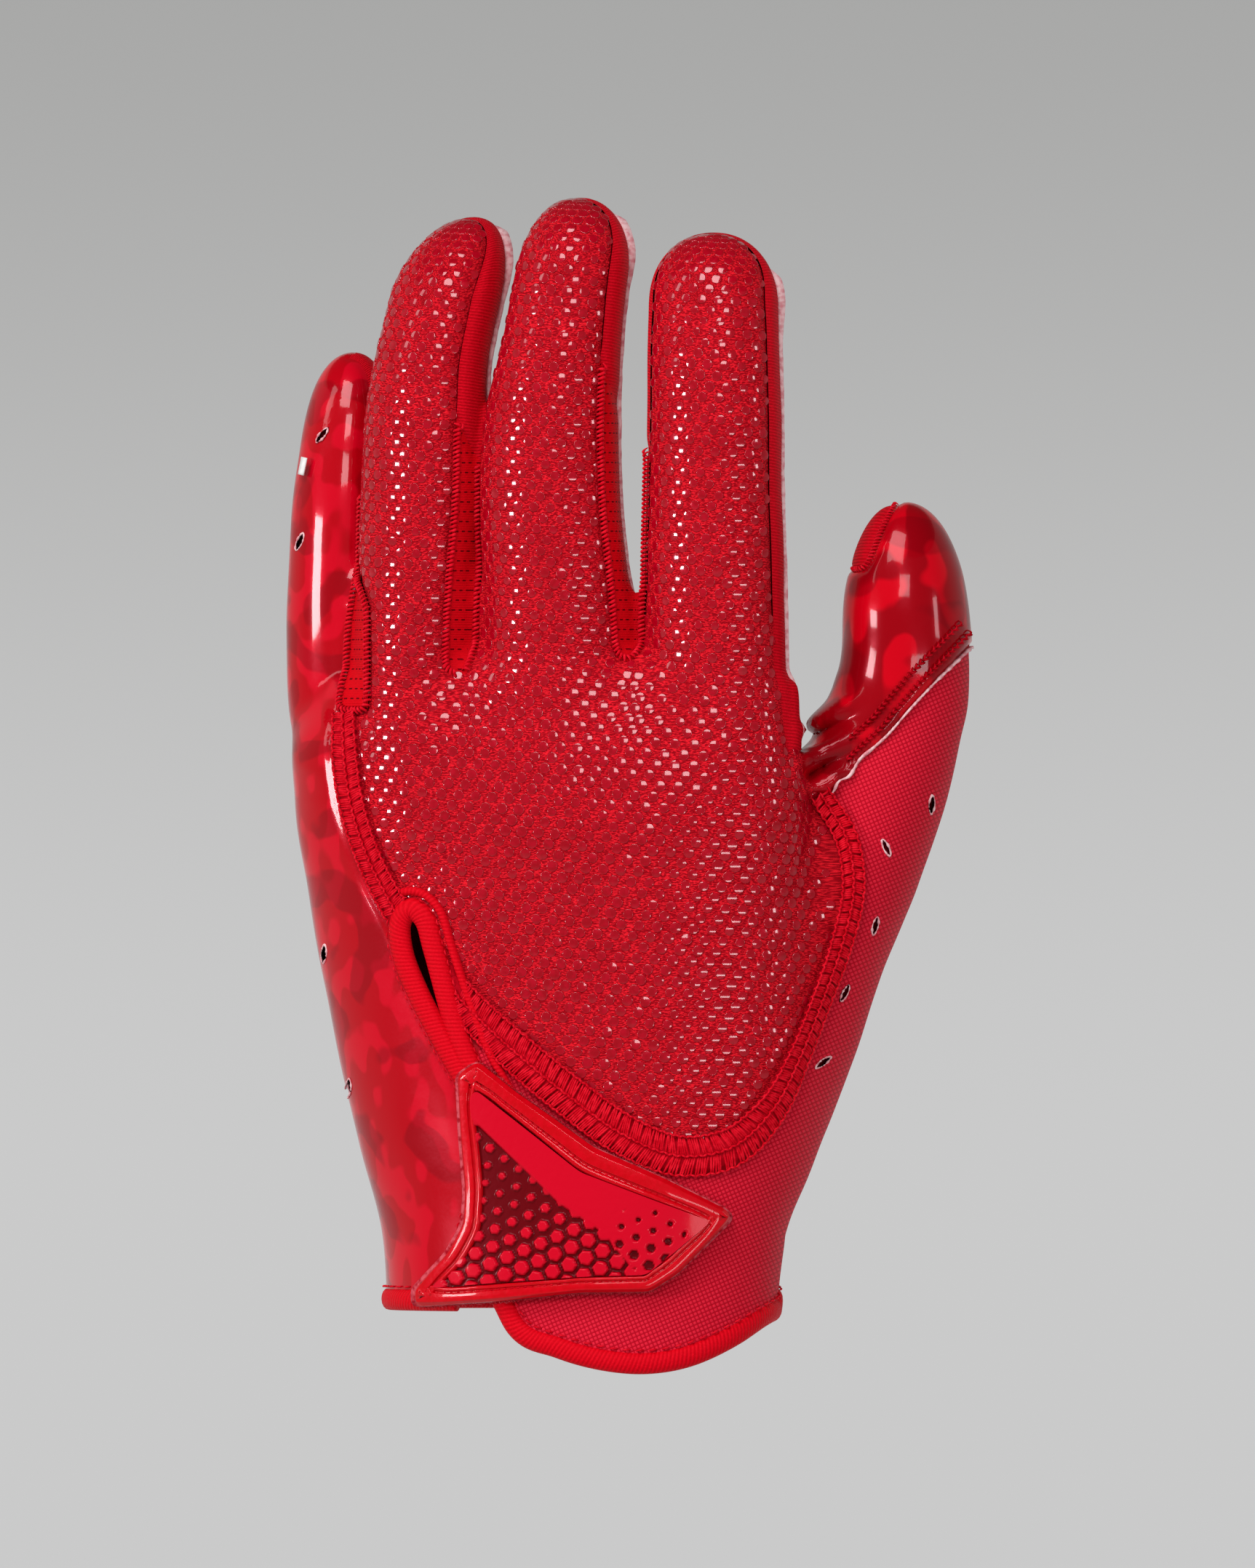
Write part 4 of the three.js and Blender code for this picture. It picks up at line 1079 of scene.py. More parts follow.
class Layout:
    """Where the panels lie on the skin: each level is below zero inside its panel."""

    def __init__(self, form: GloveForm) -> None:
        """Args:
        form: the glove's form.
        """
        self.form = form
        widths = [row.wide * BAND_WIDTH for row in BAND_LINE]
        self.band = curve(np.column_stack([placed(BAND_LINE), widths]), 2.0)
        last = self.band[-1]
        index = FINGERS[3].rows[1]
        edge = index.x * PALM_BREADTH + index.wide * FINGER_BREADTH * 0.56
        top = PALM_LENGTH * 1.078
        self.back = np.vstack(
            [self.band[:, :2], [(edge + 1, last[1] + 3.75), (edge, top), (self.band[0, 0] + 1, top)]]
        )
        self.slit = np.vstack([curve(placed(KEYHOLE_LINE), 1.5), placed(KEYHOLE_FOOT)])
        wrap = curve(placed(WRAP_SEAM), 0.8)
        scallop = np.sin(wrap[:, 0] * SCALLOP_TURN)
        wrap[:, 1] += SCALLOP_RISE * scallop * smoothstep((SCALLOP_END - wrap[:, 0]) / 8)
        self.wrap = np.vstack([wrap, [(100, 175), (40, 175)]])
        self.thenar = np.vstack([placed(THENAR_SEAM), [(44, 137.5), (100, 150), (100, -25)]])

    def values(self, points: np.ndarray) -> dict[str, np.ndarray]:
        """Args:
            points: points of the skin.

        Returns:
            The levels and the directions of the cloth at each point.
        """
        x, y, z = points.T
        form = self.form
        near = np.stack([finger.distance(x, y, z) for finger in form.fingers])
        weight = np.exp(-(near - near.min(axis=0)) / 0.8)
        weight /= weight.sum(axis=0)
        rise, top, across, start, rib, along = (np.zeros(len(x)) for _ in range(6))
        for share, finger, sizes in zip(weight, form.fingers, FINGERS):
            u, v, width, _, _, over = finger.local(x, y, z)
            side = smoothstep(0.5 + u / 2.0)
            shoulder = finger.table[-1, 0]
            turn = np.arctan2(over / finger.cap, np.maximum(np.abs(u / width), 1e-3))
            root = form.front(finger.table[1, 1:2], np.array([KNUCKLE_LEVEL]))
            offset = float(form.hand.across(*root.T)[0] - finger.across(*root.T)[0])
            rise += share * -v
            seam = np.interp(u / width, (-1, 1), sizes.seam) * STRIP_RISE
            top += share * (-v - seam + TIP_DROP * smoothstep(over / finger.cap))
            across += share * (finger.across(x, y, z) + offset)
            start += share * (finger.starts[0] * (1 - side) + finger.starts[1] * side)
            rib += share * (np.minimum(z, shoulder) + turn * finger.cap)
            bend = np.arcsin(np.clip(over / finger.cap, 0, 1))
            along += share * (np.minimum(z, shoulder) + bend * finger.cap)
        mixed = smoothstep((z - KNIT_MIX[0]) / KNIT_MIX[1])
        across = across * mixed + form.hand.across(x, y, z) * (1 - mixed)
        front = y - middle_line(x)
        reach, place = line_reach(x, z, self.band[:, :2])
        width = np.interp(place, np.arange(len(self.band)), self.band[:, 2])
        ends = np.maximum(0.02 - place, place - len(self.band) + 1.02)
        above = np.maximum(np.maximum(-top, KNUCKLE_LEVEL - z), (weight[0] - 0.5) * 4)
        back = np.minimum(np.maximum(outline_level(x, z, self.back), front), above)
        lean = FORK_SLOPE * np.maximum(z - FORK_TAPER, 0.0)
        fork = np.maximum(x - FORK_EDGE + lean, FORK_LOW - z)
        top = np.minimum(top, np.maximum(back, fork))
        flap = np.where(front < 0, flap_edge(x), HEM_RADIUS)
        woven = np.minimum(
            np.maximum(outline_level(x, z, placed(WOVEN_FRONT)), front),
            outline_level(x, z, self.thenar),
        )
        return {
            "hem": flap - z,
            "slit": np.maximum(outline_level(x, z, self.slit), front),
            "strip": np.maximum(np.maximum(top, STRIP_RISE - SIDE_STRIP - rise), start - z),
            "band": np.maximum(np.maximum(reach - width / 2, front), ends * 9),
            "back": np.maximum(back, -fork),
            "wrap": outline_level(x, z, self.wrap),
            "woven": woven,
            "vent": np.where(front < 10 * smoothstep((z - 140) / 20), self.vent_level(x, z), 9.0),
            "tip_rib": np.maximum(outline_level(x, z, np.array(TIP_RIB)), front - 2),
            "top": top,
            "owner": weight.argmax(axis=0).astype(float),
            "weave": np.stack([across, along, rib], axis=1),
            **{name: outline_level(x, z, self.gusset(rows)) for name, rows in GUSSETS.items()},
        }

    @staticmethod
    def vent_level(x: np.ndarray, z: np.ndarray) -> np.ndarray:
        """Args:
            x: left to right.
            z: up.

        Returns:
            About the distance to the nearest vent's edge, below zero in the vent.
        """
        best = np.full(x.shape, 99.0)
        for across, up, lean in VENTS:
            dx, dz = x - across * PALM_BREADTH, z - up * PALM_LENGTH
            cos, sin = math.cos(math.radians(lean)), math.sin(math.radians(lean))
            along, wide = np.abs(dx * cos + dz * sin), np.abs(dz * cos - dx * sin)
            half = VENT_WIDTH / 2 * np.clip(1 - (2 * along / VENT_LENGTH) ** 2, 0, 1)
            best = np.minimum(best, np.maximum(wide - half, along - VENT_LENGTH / 2))
        return best

    @staticmethod
    def gusset(rows: Sequence[SeamRow]) -> np.ndarray:
        """Args:
            rows: the gusset's upper edge.

        Returns:
            Its outline in front view.
        """
        upper = placed(rows)
        return np.vstack([upper, [(upper[-1, 0], GUSSET_FOOT), (upper[0, 0], GUSSET_FOOT)]])


@dataclass
class Track:
    """A line laid on the glove, or a set of places on it, with directions.

    Args:
        points: one point a row.
        normals: outward directions.
        ways: directions along the line.
        sides: directions to its side.
        far: length along the line.
    """

    points: np.ndarray
    normals: np.ndarray
    ways: np.ndarray | None = None
    sides: np.ndarray | None = None
    far: np.ndarray | None = None

    def __post_init__(self) -> None:
        """Works out the directions of a line from its points."""
        if self.ways is None:
            self.ways = unit(np.gradient(self.points, axis=0))
            self.sides = unit(np.cross(self.normals, self.ways))
            steps = np.linalg.norm(np.diff(self.points, axis=0), axis=1)
            self.far = np.concatenate([[0.0], np.cumsum(steps)])

    @classmethod
    def on(
        cls, form: GloveForm, line: np.ndarray, pitch: float, lift: float = 0.0, ease: int = 4
    ) -> "Track":
        """Lays a line on the glove.

        Args:
            form: the glove's form.
            line: the line's points.
            pitch: distance between points.
            lift: height over the skin.
            ease: rounds of smoothing.

        Returns:
            The track.
        """
        line = even(line, max(pitch, 0.5))
        for _ in range(ease):
            line[1:-1] = line[1:-1] * 0.5 + (line[:-2] + line[2:]) * 0.25
        points = form.settle(even(line, pitch), lift, 2)
        return cls(points, form.normals(points))

    def moved(self, side: Sizes, up: Sizes = 0.0) -> "Track":
        """Args:
            side: distance sideways.
            up: distance outwards.

        Returns:
            The same line beside itself.
        """
        side, up = np.atleast_1d(side)[:, None], np.atleast_1d(up)[:, None]
        return Track(self.points + self.sides * side + self.normals * up, self.normals)

    def part(self, keep: Union[slice, np.ndarray]) -> "Track":
        """Args:
            keep: which points to keep.

        Returns:
            The line with only those points, their directions as they were.
        """
        arrays = (self.points, self.normals, self.ways, self.sides, self.far)
        return Track(*(array[keep] for array in arrays))


def grid_faces(rows: int, columns: int, closed: bool) -> np.ndarray:
    """Args:
        rows: rows of points.
        columns: points in a row.
        closed: True if each row is a ring.

    Returns:
        Triangles between the rows.
    """
    number = np.arange(rows * columns).reshape(rows, columns)
    beside = np.roll(number, -1, axis=1) if closed else number[:, 1:]
    near = number if closed else number[:, :-1]
    a, b, c, d = near[:-1], beside[:-1], beside[1:], near[1:]
    return np.concatenate([np.stack(q, axis=-1).reshape(-1, 3) for q in ((a, b, c), (a, c, d))])


def sweep(track: Track, profile: np.ndarray, grow: Sizes = 1.0, ends: bool = True) -> Patch:
    """Draws a profile along a track.

    Args:
        track: the track.
        profile: closed profile of side and outward distances, turning left, or one for each point.
        grow: size of the profile at each point.
        ends: True to close the ends.

    Returns:
        The swept surface, whose weave holds length along, length round and 0.
    """
    grow = np.broadcast_to(grow, len(track.points))[:, None, None]
    shape = np.broadcast_to(profile, (len(track.points), *profile.shape[-2:])) * grow
    points = track.points[:, None] + track.sides[:, None] * shape[:, :, :1]
    points = points + track.normals[:, None] * shape[:, :, 1:]
    count = profile.shape[-2]
    first = shape[0]
    edge = np.linalg.norm(np.roll(first, -1, axis=0) - first, axis=1)
    around = np.concatenate([[0.0], np.cumsum(edge)[:-1]])
    weave = np.stack(
        [
            np.repeat(track.far, count),
            np.tile(around, len(track.points)),
            np.zeros(count * len(track.points)),
        ],
        axis=1,
    )
    points = points.reshape(-1, 3)
    faces = [grid_faces(len(track.points), count, True)[:, ::-1]]
    if ends:
        fan = np.array([(0, k, k + 1) for k in range(1, count - 1)])
        faces += [fan, fan[:, ::-1] + len(points) - count]
    return Patch(points, {"weave": weave}, np.concatenate(faces))


def ring(radius: float, count: int) -> np.ndarray:
    """Args:
        radius: radius of the ring.
        count: number of points.

    Returns:
        A round profile.
    """
    angle = np.arange(count) * 2 * math.pi / count
    return np.stack([np.cos(angle) * radius, np.sin(angle) * radius], axis=1)


def loop(length: float, rise: float, radius: float, sides: int = 5, steps: int = 5) -> Patch:
    """A thread that dives in at both ends, along x, with z outwards.

    Args:
        length: distance between its ends.
        rise: height of its middle.
        radius: radius of the thread.
        sides: sides of its section.
        steps: steps along it.

    Returns:
        The thread.
    """
    t = np.linspace(0, 1, steps + 1)
    points = np.stack([(t - 0.5) * length, 0 * t, (4 * t * (1 - t) * 1.25 - 0.25) * rise], axis=1)
    track = Track(points, np.tile([0.0, 0.0, 1.0], (len(t), 1)))
    return sweep(track, ring(radius, sides), 0.75 + 0.25 * np.sin(t * math.pi), False)


def dome(height: float, sides: int = 12) -> Patch:
    """A round low dot of radius 1 with a soft rim.

    Args:
        height: height over its foot.
        sides: number of sides.

    Returns:
        The dot.
    """
    angle = np.arange(sides) * 2 * math.pi / sides
    rings = [(1.0, -0.1), (0.95, height * 0.85), (0.86, height)]
    points = [(r * math.cos(a), r * math.sin(a), h) for r, h in rings for a in angle]
    points.append((0.0, 0.0, height * 1.02))
    faces = grid_faces(3, sides, True)
    last = 2 * sides
    fan = [(last + k, last + (k + 1) % sides, 3 * sides) for k in range(sides)]
    return Patch(np.array(points), {}, np.concatenate([faces, np.array(fan)]))


def stamp(shape: Patch, spots: Track, size: Sizes = 1.0, turn: Sizes = 0.0) -> Patch:
    """Sets a shape at each point of a track.

    Args:
        shape: the shape: x along, y to the side, z outwards.
        spots: where it goes.
        size: its size at each point, or its three sizes.
        turn: its turn about the outward direction, in radians.

    Returns:
        All the copies.
    """
    count = len(spots.points)
    size = np.asarray(size, float)
    size = np.broadcast_to(size if size.ndim == 2 else np.atleast_1d(size)[:, None], (count, 3))[:, None]
    turn = np.broadcast_to(turn, count)[:, None]
    x_way = spots.ways * np.cos(turn) + spots.sides * np.sin(turn)
    y_way = spots.sides * np.cos(turn) - spots.ways * np.sin(turn)
    local = shape.points[None] * size
    points = (
        spots.points[:, None]
        + local[:, :, :1] * x_way[:, None]
        + local[:, :, 1:2] * y_way[:, None]
        + local[:, :, 2:] * spots.normals[:, None]
    )
    faces = shape.faces[None] + (np.arange(count) * len(shape.points))[:, None, None]
    return Patch(points.reshape(-1, 3), {}, faces.reshape(-1, 3))


def together(patches: Sequence[Patch]) -> Patch:
    """Args:
        patches: several patches.

    Returns:
        One patch of them all, with the values that they share.
    """
    starts = np.cumsum([0] + [len(patch.points) for patch in patches[:-1]])
    keys = set.intersection(*(set(patch.values) for patch in patches))
    return Patch(
        np.concatenate([patch.points for patch in patches]),
        {key: np.concatenate([patch.values[key] for patch in patches]) for key in keys},
        np.concatenate([patch.faces + start for patch, start in zip(patches, starts)]),
    )


class Slot(str, Enum):
    """The record's material slots."""

    GRIP = "grip"
    KNIT = "knit"
    RIB = "rib"
    GUSSET = "gusset"
    WOVEN = "woven"
    THREAD = "thread"
    BINDING = "binding"
    HOOK = "hook"
    MOULDED = "moulded"
    INLAY = "inlay"


def srgb(red: float, green: float, blue: float) -> tuple[float, float, float, float]:
    """Args:
        red: 0 to 255.
        green: 0 to 255.
        blue: 0 to 255.

    Returns:
        The linear colour.
    """
    return (*(((c / 255 + 0.055) / 1.055) ** 2.4 if c > 10 else c / 3295 for c in (red, green, blue)), 1.0)


class Wire:
    """A socket of a material's graph that can be used in sums."""

    def __init__(self, graph: "Graph", socket: bpy.types.NodeSocket) -> None:
        self.graph = graph
        self.socket = socket

    def __add__(self, other: "Value") -> "Wire":
        return self.graph.math("ADD", self, other)

    def __sub__(self, other: "Value") -> "Wire":
        return self.graph.math("SUBTRACT", self, other)

    def __mul__(self, other: "Value") -> "Wire":
        return self.graph.math("MULTIPLY", self, other)

    def __rsub__(self, other: float) -> "Wire":
        return self.graph.math("SUBTRACT", other, self)

    __radd__ = __add__
    __rmul__ = __mul__


Value = Union[float, Wire]


class Graph:
    """The node tree of one material."""

    def __init__(self, name: str) -> None:
        """Args:
        name: the material's name.
        """
        self.material = bpy.data.materials.new(name)
        self.material.use_nodes = True
        self.tree = self.material.node_tree
        self.tree.nodes.clear()

    def node(
        self, kind: str, settings: dict | None = None, inputs: dict | None = None, output: int = 0
    ) -> Wire:
        """Adds a node.

        Args:
            kind: the node's type.
            settings: its settings.
            inputs: values or wires for its inputs.
            output: which output to return.

        Returns:
            The output.
        """
        node = self.tree.nodes.new(kind)
        for key, value in (settings or {}).items():
            setattr(node, key, value)
        for key, value in (inputs or {}).items():
            if isinstance(value, Wire):
                self.tree.links.new(value.socket, node.inputs[key])
            else:
                node.inputs[key].default_value = value
        return Wire(self, node.outputs[output]) if node.outputs else Wire(self, None)

    def math(self, operation: str, *values: Value) -> Wire:
        """Args:
            operation: a math operation.
            values: what it works on.

        Returns:
            Its result.
        """
        return self.node("ShaderNodeMath", {"operation": operation}, dict(enumerate(values)))

    def mix(self, share: Value, low: object, high: object) -> Wire:
        """Args:
            share: 0 for low to 1 for high.
            low: a colour.
            high: a colour.

        Returns:
            The mixed colour.
        """
        return self.node("ShaderNodeMix", {"data_type": "RGBA"}, {0: share, 6: low, 7: high}, 2)

    def step(self, value: Value, low: float, high: float) -> Wire:
        """Args:
            value: a value.
            low: where the step starts.
            high: where it ends.

        Returns:
            A smooth step from 0 to 1.
        """
        settings = {"interpolation_type": "SMOOTHSTEP"}
        return self.node("ShaderNodeMapRange", settings, {0: value, 1: low, 2: high})

    def noise(self, where: Wire, scale: float, detail: float = 2.0, stretch: tuple = (1, 1, 1)) -> Wire:
        """Args:
            where: position.
            scale: lumps for each unit of length.
            detail: number of finer layers.
            stretch: scale of each axis.

        Returns:
            Noise from 0 to 1.
        """
        place = self.node("ShaderNodeVectorMath", {"operation": "MULTIPLY"}, {0: where, 1: stretch})
        return self.node("ShaderNodeTexNoise", {}, {"Vector": place, "Scale": scale, "Detail": detail})

    def object_place(self) -> Wire:
        """Returns:
        Position on the piece, in metres.
        """
        return self.node("ShaderNodeTexCoord", output=3)

    def weave(self) -> Wire:
        """Returns:
        Position along the cloth's threads, in millimetres.
        """
        return self.node("ShaderNodeAttribute", {"attribute_name": "weave"}, output=1)

    def parts(self, vector: Wire) -> tuple[Wire, Wire, Wire]:
        """Args:
            vector: a vector.

        Returns:
            Its x, y and z.
        """
        split = self.node("ShaderNodeSeparateXYZ", {}, {0: vector})
        x, y, z = split.socket.node.outputs
        return Wire(self, x), Wire(self, y), Wire(self, z)

    def bump(self, height: Value, depth: float, below: Wire | None = None) -> Wire:
        """Args:
            height: height from 0 to 1.
            depth: millimetres from 0 to 1.
            below: a normal to add to.

        Returns:
            The bent normal.
        """
        inputs = {"Strength": 1.0, "Distance": depth * MM, "Height": height}
        if below is not None:
            inputs["Normal"] = below
        return self.node("ShaderNodeBump", {}, inputs)

    def shade(self, constants: dict, wires: dict) -> bpy.types.Material:
        """Ends the graph in a surface.

        Args:
            constants: fixed values of the shader.
            wires: values that vary.

        Returns:
            The material.
        """
        shader = self.node("ShaderNodeBsdfPrincipled", {}, {**constants, **wires})
        self.node("ShaderNodeOutputMaterial", {}, {0: shader})
        return self.material


@dataclass(frozen=True)
class Finish:
    """A surface's looks.

    Args:
        name: the material's name.
        colour: its main colour.
        other: the colour that it varies to.
        roughness: 0 to 1.
        coat: weight of a clear gloss over it.
        sheen: weight of the soft glow of fibres.
        specular: strength of its own shine.
    """

    name: str
    colour: tuple[float, float, float, float]
    other: tuple[float, float, float, float]
    roughness: float = 0.6
    coat: float = 0.0
    sheen: float = 0.0
    specular: float = 0.25

    def wires(self, graph: Graph) -> dict[str, Wire]:
        """Args:
            graph: the material's graph.

        Returns:
            What varies over the surface.
        """
        grain = graph.noise(graph.object_place(), 900.0)
        return {
            "Base Color": graph.mix(graph.step(grain, 0.35, 0.7), self.colour, self.other),
            "Normal": graph.bump(grain, 0.08),
        }

    def material(self) -> bpy.types.Material:
        """Returns:
        The material.
        """
        graph = Graph(f"look_{self.name}")
        constants = {
            "Roughness": self.roughness,
            "Coat Weight": self.coat,
            "Coat Roughness": 0.06,
            "Sheen Weight": self.sheen,
            "Sheen Roughness": 0.4,
            "Sheen Tint": (1.0, 0.06, 0.12, 1.0),
            "Specular Tint": (1.0, 0.12, 0.2, 1.0),
            "Specular IOR Level": self.specular,
        }
        return graph.shade(constants, self.wires(graph))


@dataclass(frozen=True)
class GripFinish(Finish):
    """Glossy coated sheet with soft mottled tones.

    Args:
        deep: its darkest tone.
        patch: size of its tones against the palm's.
    """

    deep: tuple[float, float, float, float] = srgb(118, 0, 10)
    patch: float = 1.0

    def wires(self, graph: Graph) -> dict[str, Wire]:
        """Args:
            graph: the material's graph.

        Returns:
            What varies over the surface.
        """
        where = graph.object_place()
        blotch = graph.noise(where, 185.0 / self.patch, 0.4, (1.1, 1.1, 0.8))
        patch = graph.noise(where, 110.0 / self.patch, 0.6, (0.9, 1.3, 1.2))
        tone = graph.mix(graph.step(blotch, 0.47, 0.55), self.colour, self.other)
        tone = graph.mix(graph.step(patch, 0.54, 0.59) * 0.5, tone, self.deep)
        swell = graph.noise(where, 160.0, 0.5)
        fine = graph.noise(where, 1500.0, 1.0)
        return {
            "Base Color": tone,
            "Roughness": 0.16 + 0.1 * fine,
            "Normal": graph.bump(fine, 0.008, graph.bump(swell, 0.1)),
        }


@dataclass(frozen=True)
class KnitFinish(Finish):
    """Knitted cloth whose stitches show as short dashes; their lighter tone is painted highlight on the
    stitches.

    Args:
        dash: stitches to the millimetre, across and along.
        depth: height of the stitches.
    """

    dash: tuple[float, float] = (1.7, 4.6)
    depth: float = 0.3

    def wires(self, graph: Graph) -> dict[str, Wire]:
        """Args:
            graph: the material's graph.

        Returns:
            What varies over the surface.
        """
        weave = graph.weave()
        fine = graph.noise(weave, 1.0, 1.0, (*self.dash, 1.0))
        wide = graph.noise(weave, 0.14, 2.0)
        # the dash pattern is the knit's own; its lighter colour is painted highlight on the stitches
        share = graph.step(fine, 0.42, 0.62) * (0.35 + wide)
        return {
            "Base Color": graph.mix(share, self.colour, self.other),
            "Normal": graph.bump(fine, self.depth),
        }


@dataclass(frozen=True)
class HollowShadeFinish(Finish):
    """Moulded surface with painted shade: its colour darkens in its hollows."""

    def wires(self, graph: Graph) -> dict[str, Wire]:
        """Args:
            graph: the material's graph.

        Returns:
            What varies over the surface.
        """
        high = graph.parts(graph.weave())[2]
        grain = graph.noise(graph.object_place(), 700.0)
        return {
            # painted shade: the second colour is mixed in where the relief is low
            "Base Color": graph.mix(graph.step(high, 0.1, 0.75), self.other, self.colour),
            "Normal": graph.bump(grain, 0.05),
        }


@dataclass(frozen=True)
class RibFinish(Finish):
    """Cloth with fine ribs.

    Args:
        pitch: distance between ribs.
        axis: which weave direction the ribs cross.
        slant: lean of the ribs.
        depth: height of the ribs.
    """

    pitch: float = 0.6
    axis: int = 2
    slant: float = 0.12
    depth: float = 0.14

    def wires(self, graph: Graph) -> dict[str, Wire]:
        """Args:
            graph: the material's graph.

        Returns:
            What varies over the surface.
        """
        weave = graph.weave()
        parts = graph.parts(weave)
        beside = parts[1 if self.axis == 0 else 0]
        turn = (parts[self.axis] + self.slant * beside) * (2 * math.pi / self.pitch)
        ridge = graph.math("SINE", turn) * 0.5 + 0.5
        grain = graph.noise(weave, 2.2, 2.0)
        share = ridge * 0.6 + graph.step(grain, 0.4, 0.75) * 0.4
        return {
            "Base Color": graph.mix(share, self.colour, self.other),
            "Normal": graph.bump(ridge * 0.7 + grain * 0.5, self.depth),
        }


@dataclass(frozen=True)
class WovenFinish(Finish):
    """Cloth with small cells in slanted rows.

    Args:
        pitch: length that holds two cells.
        slant: lean of the rows.
        depth: height of the cells.
    """

    pitch: float = 1.7
    slant: float = 0.42
    depth: float = 0.12

    def wires(self, graph: Graph) -> dict[str, Wire]:
        """Args:
            graph: the material's graph.

        Returns:
            What varies over the surface.
        """
        weave = graph.weave()
        across, along, _ = graph.parts(weave)
        one = graph.math("SINE", (across + self.slant * along) * (2 * math.pi / self.pitch))
        two = graph.math("SINE", (along - self.slant * across) * (2 * math.pi / self.pitch))
        cell = graph.math("ABSOLUTE", one * two)
        grain = graph.noise(weave, 1.6, 2.0)
        share = graph.step(cell, 0.12, 0.7) * (0.5 + grain * 0.7)
        return {
            "Base Color": graph.mix(share, self.colour, self.other),
            "Normal": graph.bump(cell * 0.8 + grain * 0.4, self.depth),
        }


@dataclass(frozen=True)
class GussetFinish(Finish):
    """Ribbed cloth with rows of small dark dashes: painted shade in its small perforations.

    Args:
        row: distance between rows.
        dash: distance between dashes in a row.
    """

    row: float = 1.9
    dash: float = 1.5

    def wires(self, graph: Graph) -> dict[str, Wire]:
        """Args:
            graph: the material's graph.

        Returns:
            What varies over the surface.
        """
        weave = graph.weave()
        across, along, _ = graph.parts(weave)
        rows = graph.math("SINE", along * (2 * math.pi / self.row))
        rib = graph.math("SINE", along * (2 * math.pi / self.row * 4)) * 0.5 + 0.5
        shift = graph.math("FLOOR", along * (1 / self.row)) * 0.5
        dashes = graph.math("SINE", (across * (1 / self.dash) + shift) * (2 * math.pi))
        # painted shade: the holes' dark colour stands for the shade inside the perforations
        hole = graph.step(rows, 0.86, 0.95) * graph.step(dashes, -0.1, 0.15)
        grain = graph.noise(weave, 1.8, 2.0)
        return {
            "Base Color": graph.mix(hole * 0.85 + grain * 0.25, self.colour, self.other),
            "Normal": graph.bump(rib * 0.4 + grain * 0.6 - hole, 0.16),
        }


class Looks:
    """The glove's finishes."""

    GRIP = GripFinish("grip", srgb(172, 0, 16), srgb(196, 2, 28), 0.26, 0.5)
    # darker copy of the grip for the thumb wrap: its darker tones are painted shade; its larger blotches are
    # the sheet's own pattern
    WRAP = GripFinish("wrap_grip", srgb(146, 0, 12), srgb(196, 0, 20), 0.24, 0.3, patch=1.35)
    # the knit's lighter second colour is painted highlight on its stitches
    KNIT = KnitFinish("knit", srgb(142, 2, 14), srgb(230, 26, 40), 0.6, 0.0, 0.08)
    DOT = Finish("dot", srgb(150, 0, 18), srgb(168, 0, 26), 0.2, 0.9)
    RIB = RibFinish("rib", srgb(164, 2, 12), srgb(226, 10, 34), 0.7, 0.0, 0.08)
    # the gusset's near-black second colour is painted shade in its perforations
    GUSSET = GussetFinish("gusset", srgb(208, 3, 17), srgb(86, 0, 4), 0.65, 0.0, 0.08)
    WOVEN = WovenFinish("woven", srgb(172, 6, 28), srgb(222, 36, 58), 0.6, 0.0, 0.08)
    THREAD = Finish("thread", srgb(192, 2, 22), srgb(220, 20, 40), 0.45, 0.0, 0.1)
    # the chain stitches' darker thread tone is painted shadow round the stitches
    SHADOWED_CHAIN = Finish("chain", srgb(150, 0, 10), srgb(178, 4, 24), 0.5)
    BAND = Finish("band_cloth", srgb(150, 0, 14), srgb(170, 2, 20), 0.75)
    BINDING = RibFinish(
        "binding", srgb(190, 0, 14), srgb(220, 8, 28), 0.55, 0.0, 0.08, 0.2,
        pitch=0.8, axis=0, slant=0.35, depth=0.1,
    )
    EDGE = Finish("raw_edge", srgb(232, 192, 194), srgb(208, 130, 138), 0.9, 0.0, 0.1)
    RED_EDGE = Finish("coat_edge", srgb(196, 2, 20), srgb(216, 18, 36), 0.3, 0.5)
    HOOK = Finish("hook", srgb(206, 84, 94), srgb(160, 12, 28), 0.95, 0.0, 0.2)
    MOULDED = Finish("moulded", srgb(190, 0, 12), srgb(200, 0, 18), 0.3, 0.35)
    # the inlay's second colour is painted shade for the hollows between its cells
    INLAY = HollowShadeFinish("inlay", srgb(198, 2, 30), srgb(92, 0, 4), 0.4, 0.15)
    TAG = Finish("tag", srgb(226, 226, 224), srgb(214, 214, 212), 0.7)
    LINING = Finish("lining", srgb(96, 4, 12), srgb(120, 10, 20), 0.9)


